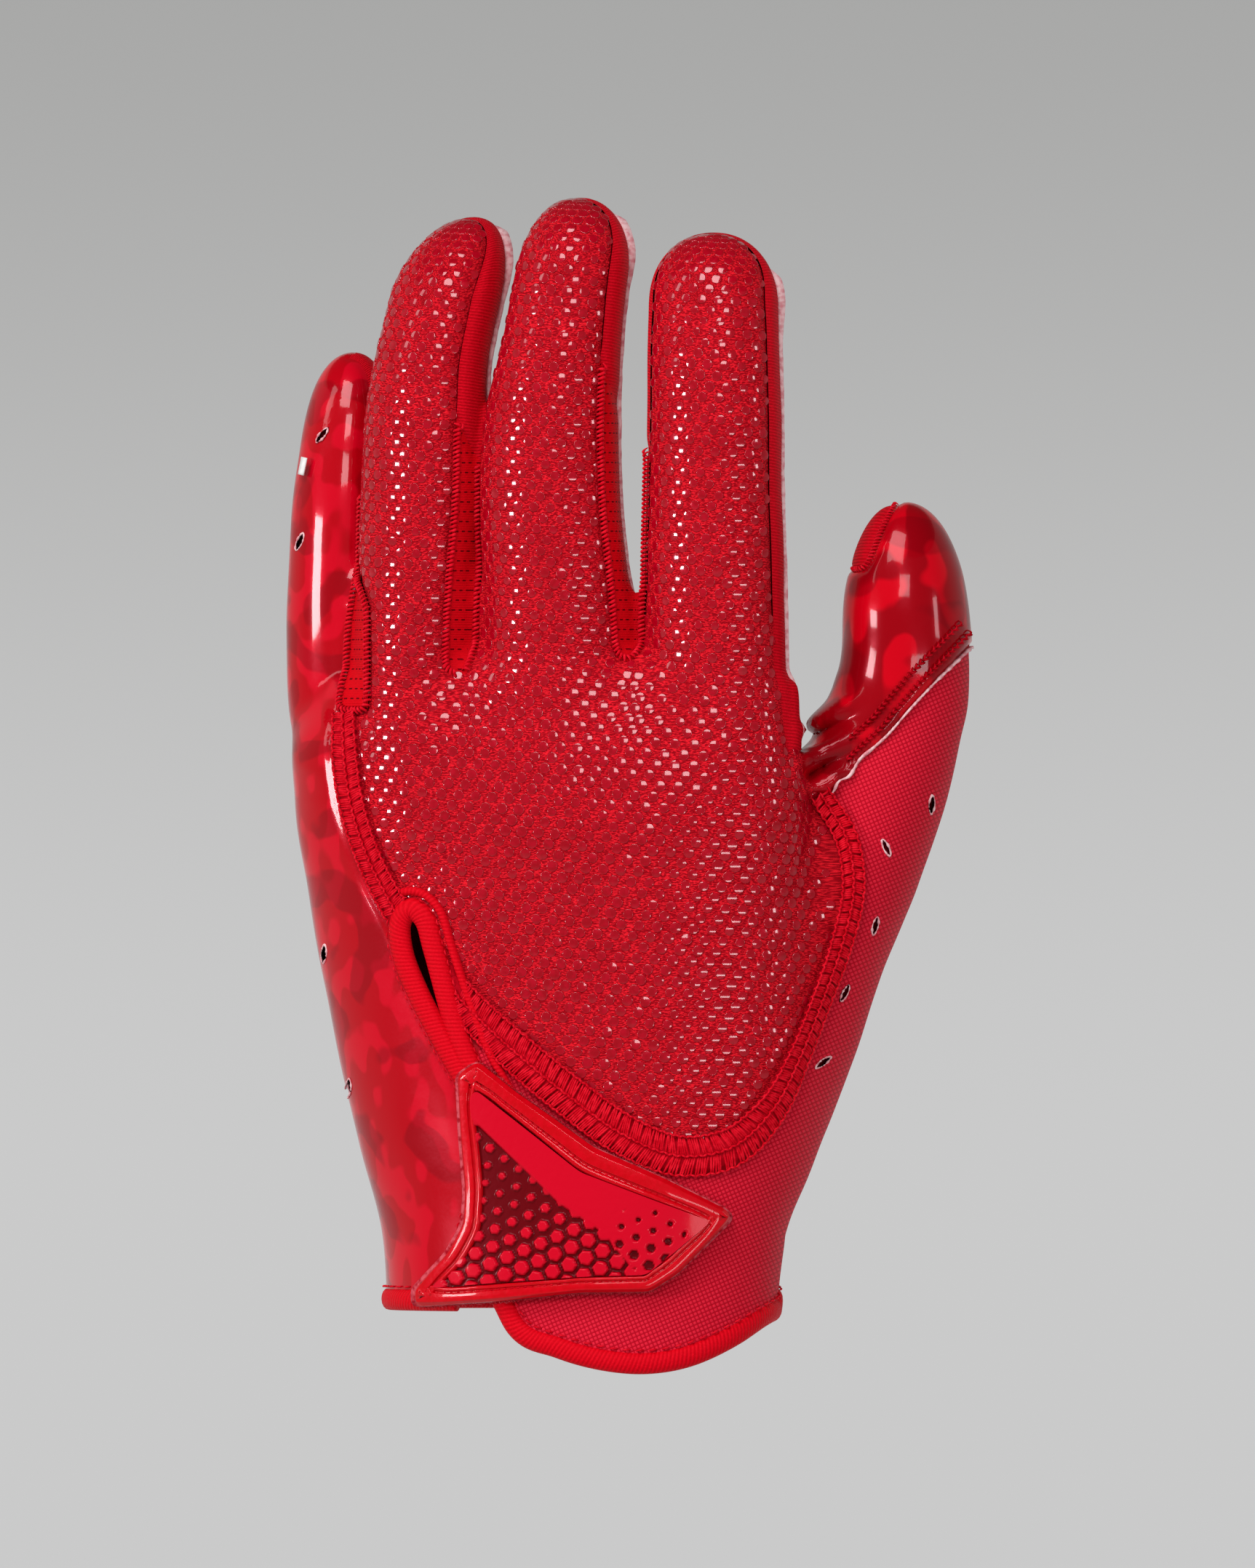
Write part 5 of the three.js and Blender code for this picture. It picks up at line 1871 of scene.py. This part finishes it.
def build(
    name: str, patch: Patch, finish: Finish, slot: Slot, nodes: Sequence[str] = ()
) -> bpy.types.Object:
    """Makes one piece of the glove.

    Args:
        name: the piece's name.
        patch: its surface, in millimetres.
        finish: its looks.
        slot: the record's slot for the piece; not used.
        nodes: the CAD nodes that it stands for.

    Returns:
        The piece.
    """
    mesh = bpy.data.meshes.new(name)
    points, faces = patch.points, patch.faces
    mesh.vertices.add(len(points))
    mesh.vertices.foreach_set("co", (points * MM).astype(np.float32).ravel())
    mesh.loops.add(faces.size)
    mesh.loops.foreach_set("vertex_index", faces.astype(np.int32).ravel())
    mesh.polygons.add(len(faces))
    mesh.polygons.foreach_set("loop_start", np.arange(0, faces.size, 3, dtype=np.int32))
    mesh.polygons.foreach_set("use_smooth", np.ones(len(faces), bool))
    mesh.update(calc_edges=True)
    weave = patch.values.get("weave")
    if weave is not None:
        layer = mesh.attributes.new("weave", "FLOAT_VECTOR", "POINT")
        layer.data.foreach_set("vector", weave.astype(np.float32).ravel())
    material = bpy.data.materials.get(f"look_{finish.name}") or finish.material()
    mesh.materials.append(material)
    piece = bpy.data.objects.new(name, mesh)
    bpy.context.scene.collection.objects.link(piece)
    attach(piece, BODY)
    if nodes:
        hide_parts(*nodes)
    LOG.info("%s: %d triangles", name, len(faces))
    return piece


@dataclass
class Shell:
    """The glove's cloth, cut into panels along its seams.

    Args:
        form: the glove's form.
        layout: where the panels lie.
        runs: the cut lines by name, filled in as the cuts are made.
    """

    form: GloveForm
    layout: Layout
    runs: dict[str, list[np.ndarray]] = field(default_factory=dict)

    def skin(self) -> Patch:
        """Returns:
        The whole outside, with its folds, before it is cut.
        """
        skin = surface_net(self.form.distance, SKIN_STEP)
        relax(skin, self.form, 0.0, 3)
        skin.values = self.layout.values(skin.points)
        skin.values["normal"] = self.form.normals(skin.points)
        level = skin.values
        gloss = smoothstep(np.minimum(level["band"], np.minimum(level["back"], level["woven"])) / 3)
        swell = waves(skin.points, 22, 1) * 0.1 + waves(skin.points, 9, 2) * 0.03 * (1 - gloss)
        height = swell + 0.7 * smoothstep(-level["band"] / 1.1)
        height = height + 0.85 * smoothstep(-level["wrap"] / 0.9)
        skin.points = skin.points + level["normal"] * height[:, None]
        return skin

    def valley(self, patch: Patch, key: str, depth: float, width: float) -> None:
        """Sinks the cloth along a seam.

        Args:
            patch: the cloth.
            key: the level that the seam follows.
            depth: how deep.
            width: how wide.
        """
        sink = depth * np.exp(-((patch.values[key] / width) ** 2))
        patch.points = patch.points - patch.values["normal"] * sink[:, None]

    def split(self, patch: Patch, key: str, depth: float = 0.35, width: float = 1.0) -> tuple[Patch, Patch]:
        """Cuts a panel off.

        Args:
            patch: the cloth.
            key: the level to cut at.
            depth: how deep the seam sinks.
            width: how wide it sinks.

        Returns:
            The panel and the rest.
        """
        if depth:
            self.valley(patch, key, depth, width)
        inside, outside, runs = patch.cut(patch.values[key])
        self.runs[key] = runs
        return inside, outside

    def pierced(self, patch: Patch, name: str) -> Patch:
        """Cuts the vents through a panel.

        Args:
            patch: the panel.
            name: name for the cut lines.

        Returns:
            The panel with its vents.
        """
        for reach in (1.6, 1.2, 0.9):
            patch = patch.refine((patch.values["vent"][patch.faces] < reach).any(axis=1))
            fresh = self.layout.vent_level(patch.points[:, 0], patch.points[:, 2])
            patch.values["vent"] = np.where(patch.values["vent"] < 8.9, fresh, 9.0)
        _, patch, self.runs[name] = patch.cut(patch.values["vent"])
        return patch

    def make(self) -> dict[str, Patch]:
        """Cuts the skin and builds every panel.

        Returns:
            The panels by name.
        """
        cloth, _ = self.split(self.skin(), "hem", 0.0)
        _, cloth = self.split(cloth, "slit", 0.0)
        strips, cloth = self.split(cloth, "strip")
        band, cloth = self.split(cloth, "band")
        panels: dict[str, Patch] = {}
        for name in GUSSETS:
            panels[name], strips = self.split(strips, name)
            panels[name] = panels[name].largest()
        back, cloth = self.split(cloth, "back")
        wrap, cloth = self.split(cloth, "wrap", 0.0)
        panels["thumb_tip"], wrap = self.split(wrap, "tip_rib", 0.6, 0.8)
        woven, palm = self.split(cloth, "woven", 0.3, 0.8)
        woven, palm = self.pierced(woven, "vent_woven"), self.pierced(palm, "vent_palm")
        woven.values["weave"] = woven.points[:, [0, 2, 1]]
        for number, sizes in enumerate(FINGERS):
            owner = np.abs(strips.values["owner"] - number)
            mine, strips, _ = strips.cut(owner - 0.5)
            panels[f"side_{sizes.name}"] = mine
        panels |= {"band": band, "back": back, "wrap": wrap, "woven": woven, "palm": palm}
        finishes = {
            "band": (Looks.BAND, Slot.THREAD, ("stitch_band", "stitch_band_side")),
            "back": (Looks.KNIT, Slot.KNIT, ("back_panel",)),
            "wrap": (Looks.WRAP, Slot.GRIP, ("thumb_wrap",)),
            "woven": (Looks.WOVEN, Slot.WOVEN, ("thumb_panel",)),
            "palm": (Looks.GRIP, Slot.GRIP, ("palm",)),
        }
        for name, patch in panels.items():
            if name.startswith("side"):
                finish = (Looks.RIB, Slot.RIB, (name,))
            elif name == "thumb_tip":
                finish = (Looks.RIB, Slot.RIB)
            elif name.startswith("gusset"):
                finish = (Looks.GUSSET, Slot.GUSSET, (name,))
            else:
                finish = finishes[name]
            build(f"{name}_cloth", patch, *finish)
        return panels

    def lining(self) -> None:
        """Builds the inside of the cloth."""
        net = surface_net(lambda x, y, z: self.form.distance(x, y, z) + CLOTH, LINING_STEP)
        relax(net, self.form, -CLOTH, 2)
        values = self.layout.values(net.points)
        net.values = {"hem": values["hem"], "slit": values["slit"]}
        net, _, _ = net.cut(net.values["hem"])
        _, net, _ = net.cut(net.values["slit"])
        build("lining", net, Looks.LINING, Slot.WOVEN)


@dataclass
class Dots:
    """Raised gloss dots in staggered rows on the back panel.

    Args:
        back: the back panel.
        pitch: distance between dots in a row, and between rows.
    """

    back: Patch
    pitch: tuple[float, float] = (3.25, 2.1)

    def make(self) -> None:
        """Builds the dots."""
        weave = self.back.values["weave"][:, :2] / np.array(self.pitch)
        weave = weave + np.stack([0.06 * weave[:, 1], 0.1 * weave[:, 0]], axis=1)
        corner = weave[self.back.faces]
        middle = corner.mean(axis=1)
        row = np.round(middle[:, 1])
        shift = 0.5 * (row % 2)
        spot = np.stack([np.round(middle[:, 0] - shift) + shift, row], axis=1)
        a, b, c = corner[:, 0], corner[:, 1] - corner[:, 0], corner[:, 2] - corner[:, 0]
        p = spot - a
        area = b[:, 0] * c[:, 1] - b[:, 1] * c[:, 0]
        area = np.where(np.abs(area) < 1e-9, 1e-9, area)
        s = (p[:, 0] * c[:, 1] - p[:, 1] * c[:, 0]) / area
        t = (b[:, 0] * p[:, 1] - b[:, 1] * p[:, 0]) / area
        hit = (s >= 0) & (t >= 0) & (s + t <= 1)
        faces = self.back.faces[hit]
        share = np.stack([1 - s - t, s, t], axis=1)[hit][:, :, None]
        points = (self.back.points[faces] * share).sum(axis=1)
        normals = unit((self.back.values["normal"][faces] * share).sum(axis=1))
        sides = unit(np.cross(normals, np.tile([0.0, 0.0, 1.0], (len(faces), 1))))
        rng = np.random.default_rng(SEED + 1)
        normals = unit(normals + rng.normal(0, 0.045, normals.shape))
        spots = Track(points, normals, np.cross(sides, normals), sides, np.zeros(len(faces)))
        inner = -self.back.values["back"][faces].min(axis=1)
        clear = inner > 0.9
        size = 0.96 + 0.1 * waves(spots.points, 14, 5) + 0.1 * smoothstep((inner - 3) / 12)
        spots = spots.part(clear)
        build("back_dots", stamp(dome(0.13), spots, size[clear]), Looks.DOT, Slot.KNIT)


@dataclass
class Stitching:
    """The glove's visible threads.

    Args:
        form: the glove's form.
        layout: where the panels lie.
        panels: the cut panels.
        runs: the shell's cut lines.
    """

    form: GloveForm
    layout: Layout
    panels: dict[str, Patch]
    runs: dict[str, list[np.ndarray]]

    def top_at(self, points: np.ndarray) -> np.ndarray:
        """Args:
            points: points of the glove.

        Returns:
            Their heights over the upper seam of the fingers' sides.
        """
        return self.layout.values(points)["top"]

    def band(self) -> None:
        """Builds the overlocked band's crossing threads and its three chains."""
        rows = even(self.layout.band, 0.42)
        points = self.form.front(rows[:, 0], rows[:, 1], 0.62)
        track = Track(points, self.form.normals(points))
        clear = outline_level(rows[:, 0], rows[:, 1], self.layout.slit) > 1.2
        rng = np.random.default_rng(SEED)
        half = rows[:, 2] / 2
        patches = []
        number = np.arange(len(rows))
        thread = loop(1.0, 0.3, 0.25)
        for side in (-1, 1):
            spots = track.moved(side * half * 0.5, rng.uniform(-0.06, 0.06, len(rows)))
            keep = clear & (number % 6 != (0 if side > 0 else 3))
            size = np.stack([half * 1.08, np.full(len(rows), 1.0), np.full(len(rows), 1.0)], axis=1)
            turn = math.pi / 2 + side * 0.22 + rng.uniform(-0.12, 0.12, len(rows))
            patches.append(stamp(thread, spots.part(keep), size[keep], turn[keep]))
        chainlet = loop(1.35, 0.5, 0.24)
        for side in (-1, 0, 1):
            spots = track.moved(side * half * 1.02, 0.18 if side == 0 else 0.0)
            keep = clear & (number % 2 == 0)
            turn = np.where(number % 4 == 0, 0.35, -0.35)
            patches.append(stamp(chainlet, spots.part(keep), 1.0, turn[keep]))
        build("band_threads", together(patches), Looks.THREAD, Slot.THREAD)

    def overlock(self) -> None:
        """Builds the loops along the gussets' edges and along the front seam of the ribbed piece beside the
        thumb's tip.
        """
        patches = []
        thread = loop(1.7, 0.65, 0.32, 5, 4)
        for name in GUSSETS:
            for run in self.panels[name].rim():
                track = Track.on(self.form, run, 0.85, 0.1)
                edge = np.abs(self.top_at(track.points)) < 0.7
                patches.append(stamp(thread, track.part(edge), 1.0, math.pi / 2 + 0.5))
        for run in self.runs["tip_rib"]:
            track = Track.on(self.form, run, 0.7, 0.75)
            track = track.part(track.normals[:, 1] < -0.3)
            patches.append(stamp(loop(1.4, 0.45, 0.24, 4, 4), track, 1.0, math.pi / 2 + 0.5))
        build("seam_threads", together(patches), Looks.THREAD, Slot.THREAD)

    def edges(self) -> None:
        """Builds the turned-out raw edges along the fingers' lower seams."""
        pale, red = [], []
        for run in self.runs["strip"]:
            track = Track.on(self.form, run, 0.6, -0.1)
            low = self.top_at(track.points) < -SIDE_STRIP * 0.6
            spans = np.split(np.arange(len(low)), np.flatnonzero(np.diff(low.astype(int))) + 1)
            for span in spans:
                if not low[span[0]] or len(span) < 8:
                    continue
                part = track.part(span)
                sign = -1.0 if part.sides[:, 1].mean() > 0 else 1.0
                z = part.points[:, 2]
                tips = smoothstep((z - z.max() + 16) / 10)
                number = np.arange(len(span))
                ends = np.clip(np.minimum(number, number[::-1]) / 5, 0, 1)
                right = smoothstep((part.normals[:, 0] - 0.05) / 0.4)
                high = (0.3 + (0.35 + 0.95 * tips) * right + 0.05 * waves(part.points, 4.0, 11)) * ends
                for lean, store in ((sign, pale), (-sign, red)):
                    base = np.array([(0.0, -0.5), (0.45, -0.5), (0.4, 0.0), (0.32, 1.0), (0.0, 1.0)])
                    shape = np.repeat(base[None], len(span), axis=0)
                    shape[:, :, 0] *= lean
                    shape[:, :, 1] = np.where(shape[:, :, 1] > 0.5, high[:, None], shape[:, :, 1])
                    if lean < 0:
                        shape = shape[:, ::-1]
                    store.append(sweep(part, shape))
        build("raw_edges", together(pale), Looks.EDGE, Slot.GRIP)
        build("coat_edges", together(red), Looks.RED_EDGE, Slot.GRIP)

    def wrap(self) -> None:
        """Builds the thumb wrap's raw edge and its two rows of stitches."""
        run = max(self.runs["wrap"], key=len)
        run = run[run[:, 1] < 8.0]
        track = Track.on(self.form, run, 0.4, 0.45)
        corner = np.array([(-0.2, -0.5), (0.22, -0.5), (0.2, 0.45), (-0.2, 0.5)])
        ragged = 1.0 + 0.3 * waves(track.points, 1.3, 21)
        pale = sweep(track, corner, ragged)
        build("wrap_edge", pale, Looks.EDGE, Slot.GRIP)
        rows = []
        line = curve(placed(WRAP_SEAM), 0.5)
        for inset in WRAP_ROWS:
            normal = unit(np.stack([-np.gradient(line[:, 1]), np.gradient(line[:, 0])], axis=1))
            beside = even(line + normal * inset, 1.15)
            keep = (beside[:, 0] > WRAP_ROW_SPAN[0]) & (beside[:, 0] < WRAP_ROW_SPAN[1])
            points = self.form.front(beside[keep, 0], beside[keep, 1], 0.95)
            track = Track(points, self.form.normals(points))
            for side in (-1, 1):
                rows.append(stamp(loop(1.55, 0.75, 0.25), track.moved(side * 0.2), 1.0, side * 0.5))
        # the wrap's stitches use the darker thread colour that paints their shadow
        build("wrap_threads", together(rows), Looks.SHADOWED_CHAIN, Slot.THREAD)

    def vents(self) -> None:
        """Builds the frayed lips of the slit vents."""
        lips = []
        for name in ("vent_woven", "vent_palm"):
            for run in self.runs[name]:
                if np.linalg.norm(run[0] - run[-1]) > 0.1:
                    run = np.vstack([run, run[:1]])
                track = Track.on(self.form, run, 0.3, 0.12, 1)
                lips.append(sweep(track, ring(0.15, 6), 1.0 + 0.8 * waves(track.points, 0.8, 31)))
        build("vent_lips", together(lips), Looks.EDGE, Slot.GRIP)

    def tag(self) -> None:
        """Builds the small bare tag sewn into the little finger's outer side."""
        wide, high = TAG_SIZE
        z = np.linspace(TAG_PLACE[1] - high / 2, TAG_PLACE[1] + high / 2, 8)
        points = self.form.front(np.full(8, TAG_PLACE[0]) + (z - TAG_PLACE[1]) * 0.2, z, 0.1)
        track = Track(points, self.form.normals(points))
        shape = np.array([(-1, -0.1), (1, -0.1), (1, 0.22), (-1, 0.22)]) * (wide / 2, 1)
        build("side_tag", sweep(track, shape), Looks.TAG, Slot.GRIP)

    def make(self) -> None:
        """Builds all the threads and raw edges."""
        self.band()
        self.overlock()
        self.edges()
        self.wrap()
        self.vents()
        self.tag()


@dataclass
class Tab:
    """The closure tab: hook backing, moulded rim and textured inlay.

    Args:
        form: the glove's form.
    """

    form: GloveForm

    def outline(self, rows: Sequence[tuple[float, float]], pitch: float = 0.8) -> np.ndarray:
        """Args:
            rows: corners as shares of the tab's length and height.
            pitch: distance between the outline's points.

        Returns:
            The outline in front view, corners eased.
        """
        corner = np.array([TAB_PLACE[0] * PALM_BREADTH, TAB_PLACE[1] * PALM_LENGTH])
        line = corner + np.array(rows) * (TAB_LENGTH, TAB_HEIGHT)
        line = even(np.vstack([line, line[:1]]), pitch)[:-1]
        for _ in range(2):
            line = line * 0.5 + (np.roll(line, 1, axis=0) + np.roll(line, -1, axis=0)) * 0.25
        return line

    def laid(self, line: np.ndarray, lift: float) -> Track:
        """Args:
            line: a closed line in front view.
            lift: height over the cloth.

        Returns:
            The line on the glove, closed.
        """
        line = np.vstack([line, line[:1]])
        points = self.form.front(line[:, 0], line[:, 1], lift)
        track = Track(points, self.form.normals(points))
        ends = unit(track.ways[0] + track.ways[-1])
        track.ways[0] = track.ways[-1] = ends
        track.sides = unit(np.cross(track.normals, track.ways))
        return track

    def plate(self, outline: np.ndarray, step: float, height: Callable[..., np.ndarray]) -> Patch:
        """Args:
            outline: outline in front view.
            step: size of the plate's cells.
            height: height over the cloth at places of the front view.

        Returns:
            A plate cut to the outline.
        """
        low, high = outline.min(axis=0) - step, outline.max(axis=0) + step
        xs, zs = np.arange(low[0], high[0], step), np.arange(low[1], high[1], step)
        x, z = (a.ravel() for a in np.meshgrid(xs, zs))
        base = self.form.front(x, z, 0.0)
        normal = self.form.normals(base)
        lift = height(x, z)
        points = base + normal * lift[:, None]
        # the weave's third value is the relief height that the inlay's painted shade reads
        weave = np.stack([x, z, (lift - TAB_LIFT) / 1.1], axis=1)
        patch = Patch(points, {"weave": weave}, grid_faces(len(zs), len(xs), False))
        return patch.cut(outline_level(x, z, outline))[0]

    def cells(self, x: np.ndarray, z: np.ndarray) -> np.ndarray:
        """Height of the inlay's raised cells and pits.

        Args:
            x: left to right.
            z: up.

        Returns:
            Height over the cloth.
        """
        corner = (TAB_PLACE[0] * PALM_BREADTH, TAB_PLACE[1] * PALM_LENGTH)
        u, v = (x - corner[0]) / TAB_LENGTH, (z - corner[1]) / TAB_HEIGHT
        slant = math.radians(HEX_SLANT)
        faces = (0, math.pi / 3, -math.pi / 3)
        a = (x * math.cos(slant) + z * math.sin(slant)) / HEX_PITCH
        b = (-x * math.sin(slant) + z * math.cos(slant)) / (HEX_PITCH * math.sqrt(0.75))
        row = np.round(b)
        near = np.full(x.shape, 9.0)
        for up in (-1, 0, 1):
            line = row + up
            offset = 0.5 * (line % 2)
            spot = np.round(a - offset) + offset
            for side in (-1, 0, 1):
                p, q = a - spot - side, (b - line) * math.sqrt(0.75)
                hexagon = [np.abs(p * math.cos(k) + q * math.sin(k)) for k in faces]
                near = np.minimum(near, np.maximum.reduce(hexagon))
        share = smoothstep(np.hypot((u - 0.26) / 0.4, (v - 0.5) / 0.34) - 0.1)
        size = 0.19 + 0.19 * share
        cell = smoothstep((size - near) / 0.05 + 0.5) * (0.55 + 0.45 * share)
        smooth = outline_level(x, z, self.outline(SMOOTH_FIELD))
        plain = smoothstep(-smooth / 0.5 + 0.5)
        pits = np.maximum(outline_level(x, z, self.outline(PIT_FIELD)), -9)
        pit_size = 0.14 + 0.2 * smoothstep((0.4 - v) / 0.25)
        pit = smoothstep((pit_size - near * 1.2) / 0.06 + 0.5) * smoothstep(-pits / 0.3)
        return TAB_LIFT + 0.15 + CELL_HEIGHT * np.maximum(cell, plain) - CELL_HEIGHT * pit * plain

    def make(self) -> None:
        """Builds the tab."""
        outer, inner = self.outline(TAB_OUTLINE), self.outline(INLAY_OUTLINE)
        rim = self.laid(outer, TAB_LIFT)
        gap = np.abs(outline_level(outer[:, 0], outer[:, 1], inner))
        wide = np.convolve(np.pad(gap, 4, mode="wrap"), np.ones(9) / 9, mode="valid")
        wide = np.append(wide, wide[0])
        share, high = np.array(RIM_SECTION, float).T
        shape = np.stack([wide[:, None] * share, np.repeat(high[None], len(wide), axis=0)], axis=2)
        rounds = sweep(rim, shape, 1.0, False)
        build("tab_rim_moulding", rounds, Looks.MOULDED, Slot.MOULDED, ("tab_rim",))
        stitches = self.laid(even(outer, TAB_STITCH), TAB_LIFT + 0.72)
        at, known = np.linspace(0, 1, len(stitches.points)), np.linspace(0, 1, len(wide))
        beside = stitches.moved(np.interp(at, known, wide) * TAB_STITCH_SHARE)
        threads = stamp(loop(1.0, 0.3, 0.16), beside.part(slice(1, None)), 1.0, 0.1)
        build("tab_threads", threads, Looks.THREAD, Slot.THREAD)
        plate = self.plate(inner, 0.24, self.cells)
        build("tab_inlay_moulding", plate, Looks.INLAY, Slot.INLAY, ("tab_inlay",))
        foot = self.laid(outer, 0.25)
        pad = sweep(foot, np.array(HOOK_SECTION), 1.0, False)
        build("tab_hook_pad", pad, Looks.HOOK, Slot.HOOK, ("tab_backing",))
        rng = np.random.default_rng(SEED + 3)
        fluff = []
        for lift in (0.9, 1.5, 2.0):
            hairs = self.laid(even(outer, 0.45), lift)
            count = len(hairs.points)
            hairs = hairs.moved(rng.uniform(-0.35, 0.1, count), rng.uniform(-0.2, 0.2, count))
            size, turn = rng.uniform(0.6, 1.2, count), rng.uniform(0, 3, count)
            fluff.append(stamp(loop(0.8, 0.25, 0.05, 3, 2), hairs, size, turn))
        build("tab_fluff", together(fluff), Looks.HOOK, Slot.HOOK)


@dataclass
class Bindings:
    """The rolled bindings along the wrist's hem and round the keyhole slit.

    Args:
        form: the glove's form.
        runs: the shell's cut lines.
    """

    form: GloveForm
    runs: dict[str, list[np.ndarray]]

    def make(self) -> None:
        """Builds the bindings."""
        hem = self.runs["hem"][0]
        level = np.maximum(
            outline_level(hem[:, 0], hem[:, 2], placed(KEYHOLE_FOOT)),
            hem[:, 1] - middle_line(hem[:, 0]),
        )
        out = level < 0
        start = int(np.argmax(out & ~np.roll(out, -1))) + 1
        line = np.roll(hem, -start, axis=0)[~np.roll(out, -start)]
        track = Track.on(self.form, line, 0.6, -0.35)
        roll = sweep(track, ring(1.0, 16) * HEM_ROLL)
        build("hem_roll", roll, Looks.BINDING, Slot.BINDING, ("hem_binding",))
        track = Track.on(self.form, line, 1.35, 0.2)
        up = 2.5 * (1 if track.sides[:, 2].mean() > 0 else -1)
        stitches = [stamp(loop(1.5, 0.4, 0.2), track.moved(up).part(slice(None, None, 2)), 1.0, 0.1)]
        slit = max(self.runs["slit"], key=len)
        slit = slit[slit[:, 2] > 4]
        track = Track.on(self.form, slit, 0.5, -0.05, 8)
        middle = np.array([slit[:, 0].mean(), 0, slit[:, 2].mean()])
        out = 1.0 if ((track.points - middle) * track.sides).sum() > 0 else -1.0
        low = smoothstep((slit[:, 2].max() - track.points[:, 2] - 6) / 22)
        piping = track.moved(out * PIPING_BESIDE, -0.1)
        track = track.moved(-out * (0.25 + 1.0 * low))
        roll = sweep(track, ring(1.0, 16) * KEYHOLE_ROLL)
        build("keyhole_roll", roll, Looks.BINDING, Slot.BINDING, ("keyhole_binding",))
        piping = Track.on(self.form, piping.points, 0.5, 0.35, 6)
        head = int(np.argmax(piping.points[:, 2]))
        right = piping.points[-1, 0] > piping.points[0, 0]
        piping = piping.part(slice(head - 4, None) if right else slice(None, head + 5))
        build("keyhole_piping", sweep(piping, ring(PIPING_RADIUS, 10)), Looks.BINDING, Slot.BINDING)
        inner = track.moved(out * 2.35, 0.75)
        stitches.append(stamp(loop(1.2, 0.3, 0.17), inner.part(slice(2, -2, 4)), 1.0, 0.0))
        build("binding_threads", together(stitches), Looks.THREAD, Slot.THREAD)


@dataclass
class Studio:
    """Camera, lights, floor and backdrop.

    Args:
        distance: from the camera to the glove.
        centre: place in the middle of the picture, x and z.
        height: height of what the picture shows at the glove.
        floor: level of the floor.
    """

    distance: float = 6.0
    centre: tuple[float, float] = (0.0088, 0.1017)
    height: float = 0.3037
    floor: float = -0.45

    def camera(self) -> None:
        """Makes the camera."""
        data = bpy.data.cameras.new("camera")
        data.lens = data.sensor_width * self.distance / self.height
        data.clip_end = 50.0
        camera = bpy.data.objects.new("camera", data)
        camera.location = (self.centre[0], -self.distance, self.centre[1])
        camera.rotation_euler = (math.pi / 2, 0.0, 0.0)
        bpy.context.scene.collection.objects.link(camera)
        bpy.context.scene.camera = camera

    def lamp(self, name: str, place: Sequence[float], size: Sequence[float], power: float) -> None:
        """Args:
        name: the lamp's name.
        place: where it stands.
        size: its width and height.
        power: its power in watts.
        """
        data = bpy.data.lights.new(name, "AREA")
        data.shape = "RECTANGLE"
        data.size, data.size_y = size
        data.energy = power
        lamp = bpy.data.objects.new(name, data)
        lamp.location = place
        aim = Vector((0.0, 0.0, 0.1)) - Vector(place)
        lamp.rotation_euler = aim.to_track_quat("-Z", "Y").to_euler()
        lamp.visible_camera = False
        bpy.context.scene.collection.objects.link(lamp)

    def backdrop(self) -> None:
        """Makes the round pale floor that curves up into a wall on all sides; it glows with painted light
        that is lighter towards the bottom and dimmer in front.
        """
        turn = np.linspace(0, math.pi / 2, 10)
        bend = [(9.5 + 1.5 * math.sin(t), 1.5 - 1.5 * math.cos(t)) for t in turn]
        rows = [(0.01, 0.0), (1.0, 0.0), (4.0, 0.0), *bend, (11.0, 9.5)]
        angle = np.arange(64) * 2 * math.pi / 64
        points = [(r * math.cos(a), r * math.sin(a), z + self.floor) for r, z in rows for a in angle]
        mesh = bpy.data.meshes.new("backdrop")
        mesh.from_pydata(points, [], grid_faces(len(rows), 64, True).tolist())
        mesh.polygons.foreach_set("use_smooth", np.ones(len(mesh.polygons), bool))
        graph = Graph("backdrop")
        _, deep, up = graph.parts(graph.object_place())
        # painted light: the backdrop's glow is lighter low down, darker high up, and dimmer towards the
        # camera's side
        tone = graph.mix(graph.step(up, -0.118, 0.625), srgb(198, 198, 198), srgb(160, 160, 159))
        painted_backdrop_glow = graph.mix(graph.step(deep, -6.0, 3.0), srgb(112, 112, 112), tone)
        constants = {"Roughness": 0.9, "Specular IOR Level": 0.0, "Base Color": srgb(90, 90, 90)}
        constants["Emission Strength"] = 1.0
        material = graph.shade(constants, {"Emission Color": painted_backdrop_glow})
        material.cycles.emission_sampling = "NONE"
        mesh.materials.append(material)
        floor = bpy.data.objects.new("backdrop", mesh)
        bpy.context.scene.collection.objects.link(floor)

    def make(self) -> None:
        """Builds the whole studio."""
        self.camera()
        self.backdrop()
        self.lamp("key", (-0.5, -1.1, 1.5), (0.8, 0.8), 18)
        self.lamp("left", (-1.2, -0.8, 0.27), (0.34, 0.22), 7.5)
        self.lamp("left_high", (-1.3, -0.6, 1.1), (0.3, 0.8), 3)
        self.lamp("right", (1.2, -0.9, 0.42), (0.22, 0.3), 2.5)
        self.lamp("front", (-0.3, -2.6, 1.3), (0.9, 0.6), 17)
        self.lamp("low", (0.5, -1.6, 0.0), (0.9, 0.12), 4)
        world = bpy.data.worlds.new("world")
        world.use_nodes = True
        world.node_tree.nodes["Background"].inputs[0].default_value = (1, 1, 1, 1)
        world.node_tree.nodes["Background"].inputs[1].default_value = 0.05
        scene = bpy.context.scene
        scene.world = world
        scene.view_settings.view_transform = "Standard"


def main() -> None:
    """Builds the glove and its stage."""
    logging.basicConfig(level=logging.INFO, format="%(asctime)s %(message)s")
    form = GloveForm()
    shell = Shell(form, Layout(form))
    panels = shell.make()
    shell.lining()
    Dots(panels["back"]).make()
    Stitching(form, shell.layout, panels, shell.runs).make()
    Bindings(form, shell.runs).make()
    Tab(form).make()
    Studio().make()


if __name__ == "__main__":
    main()
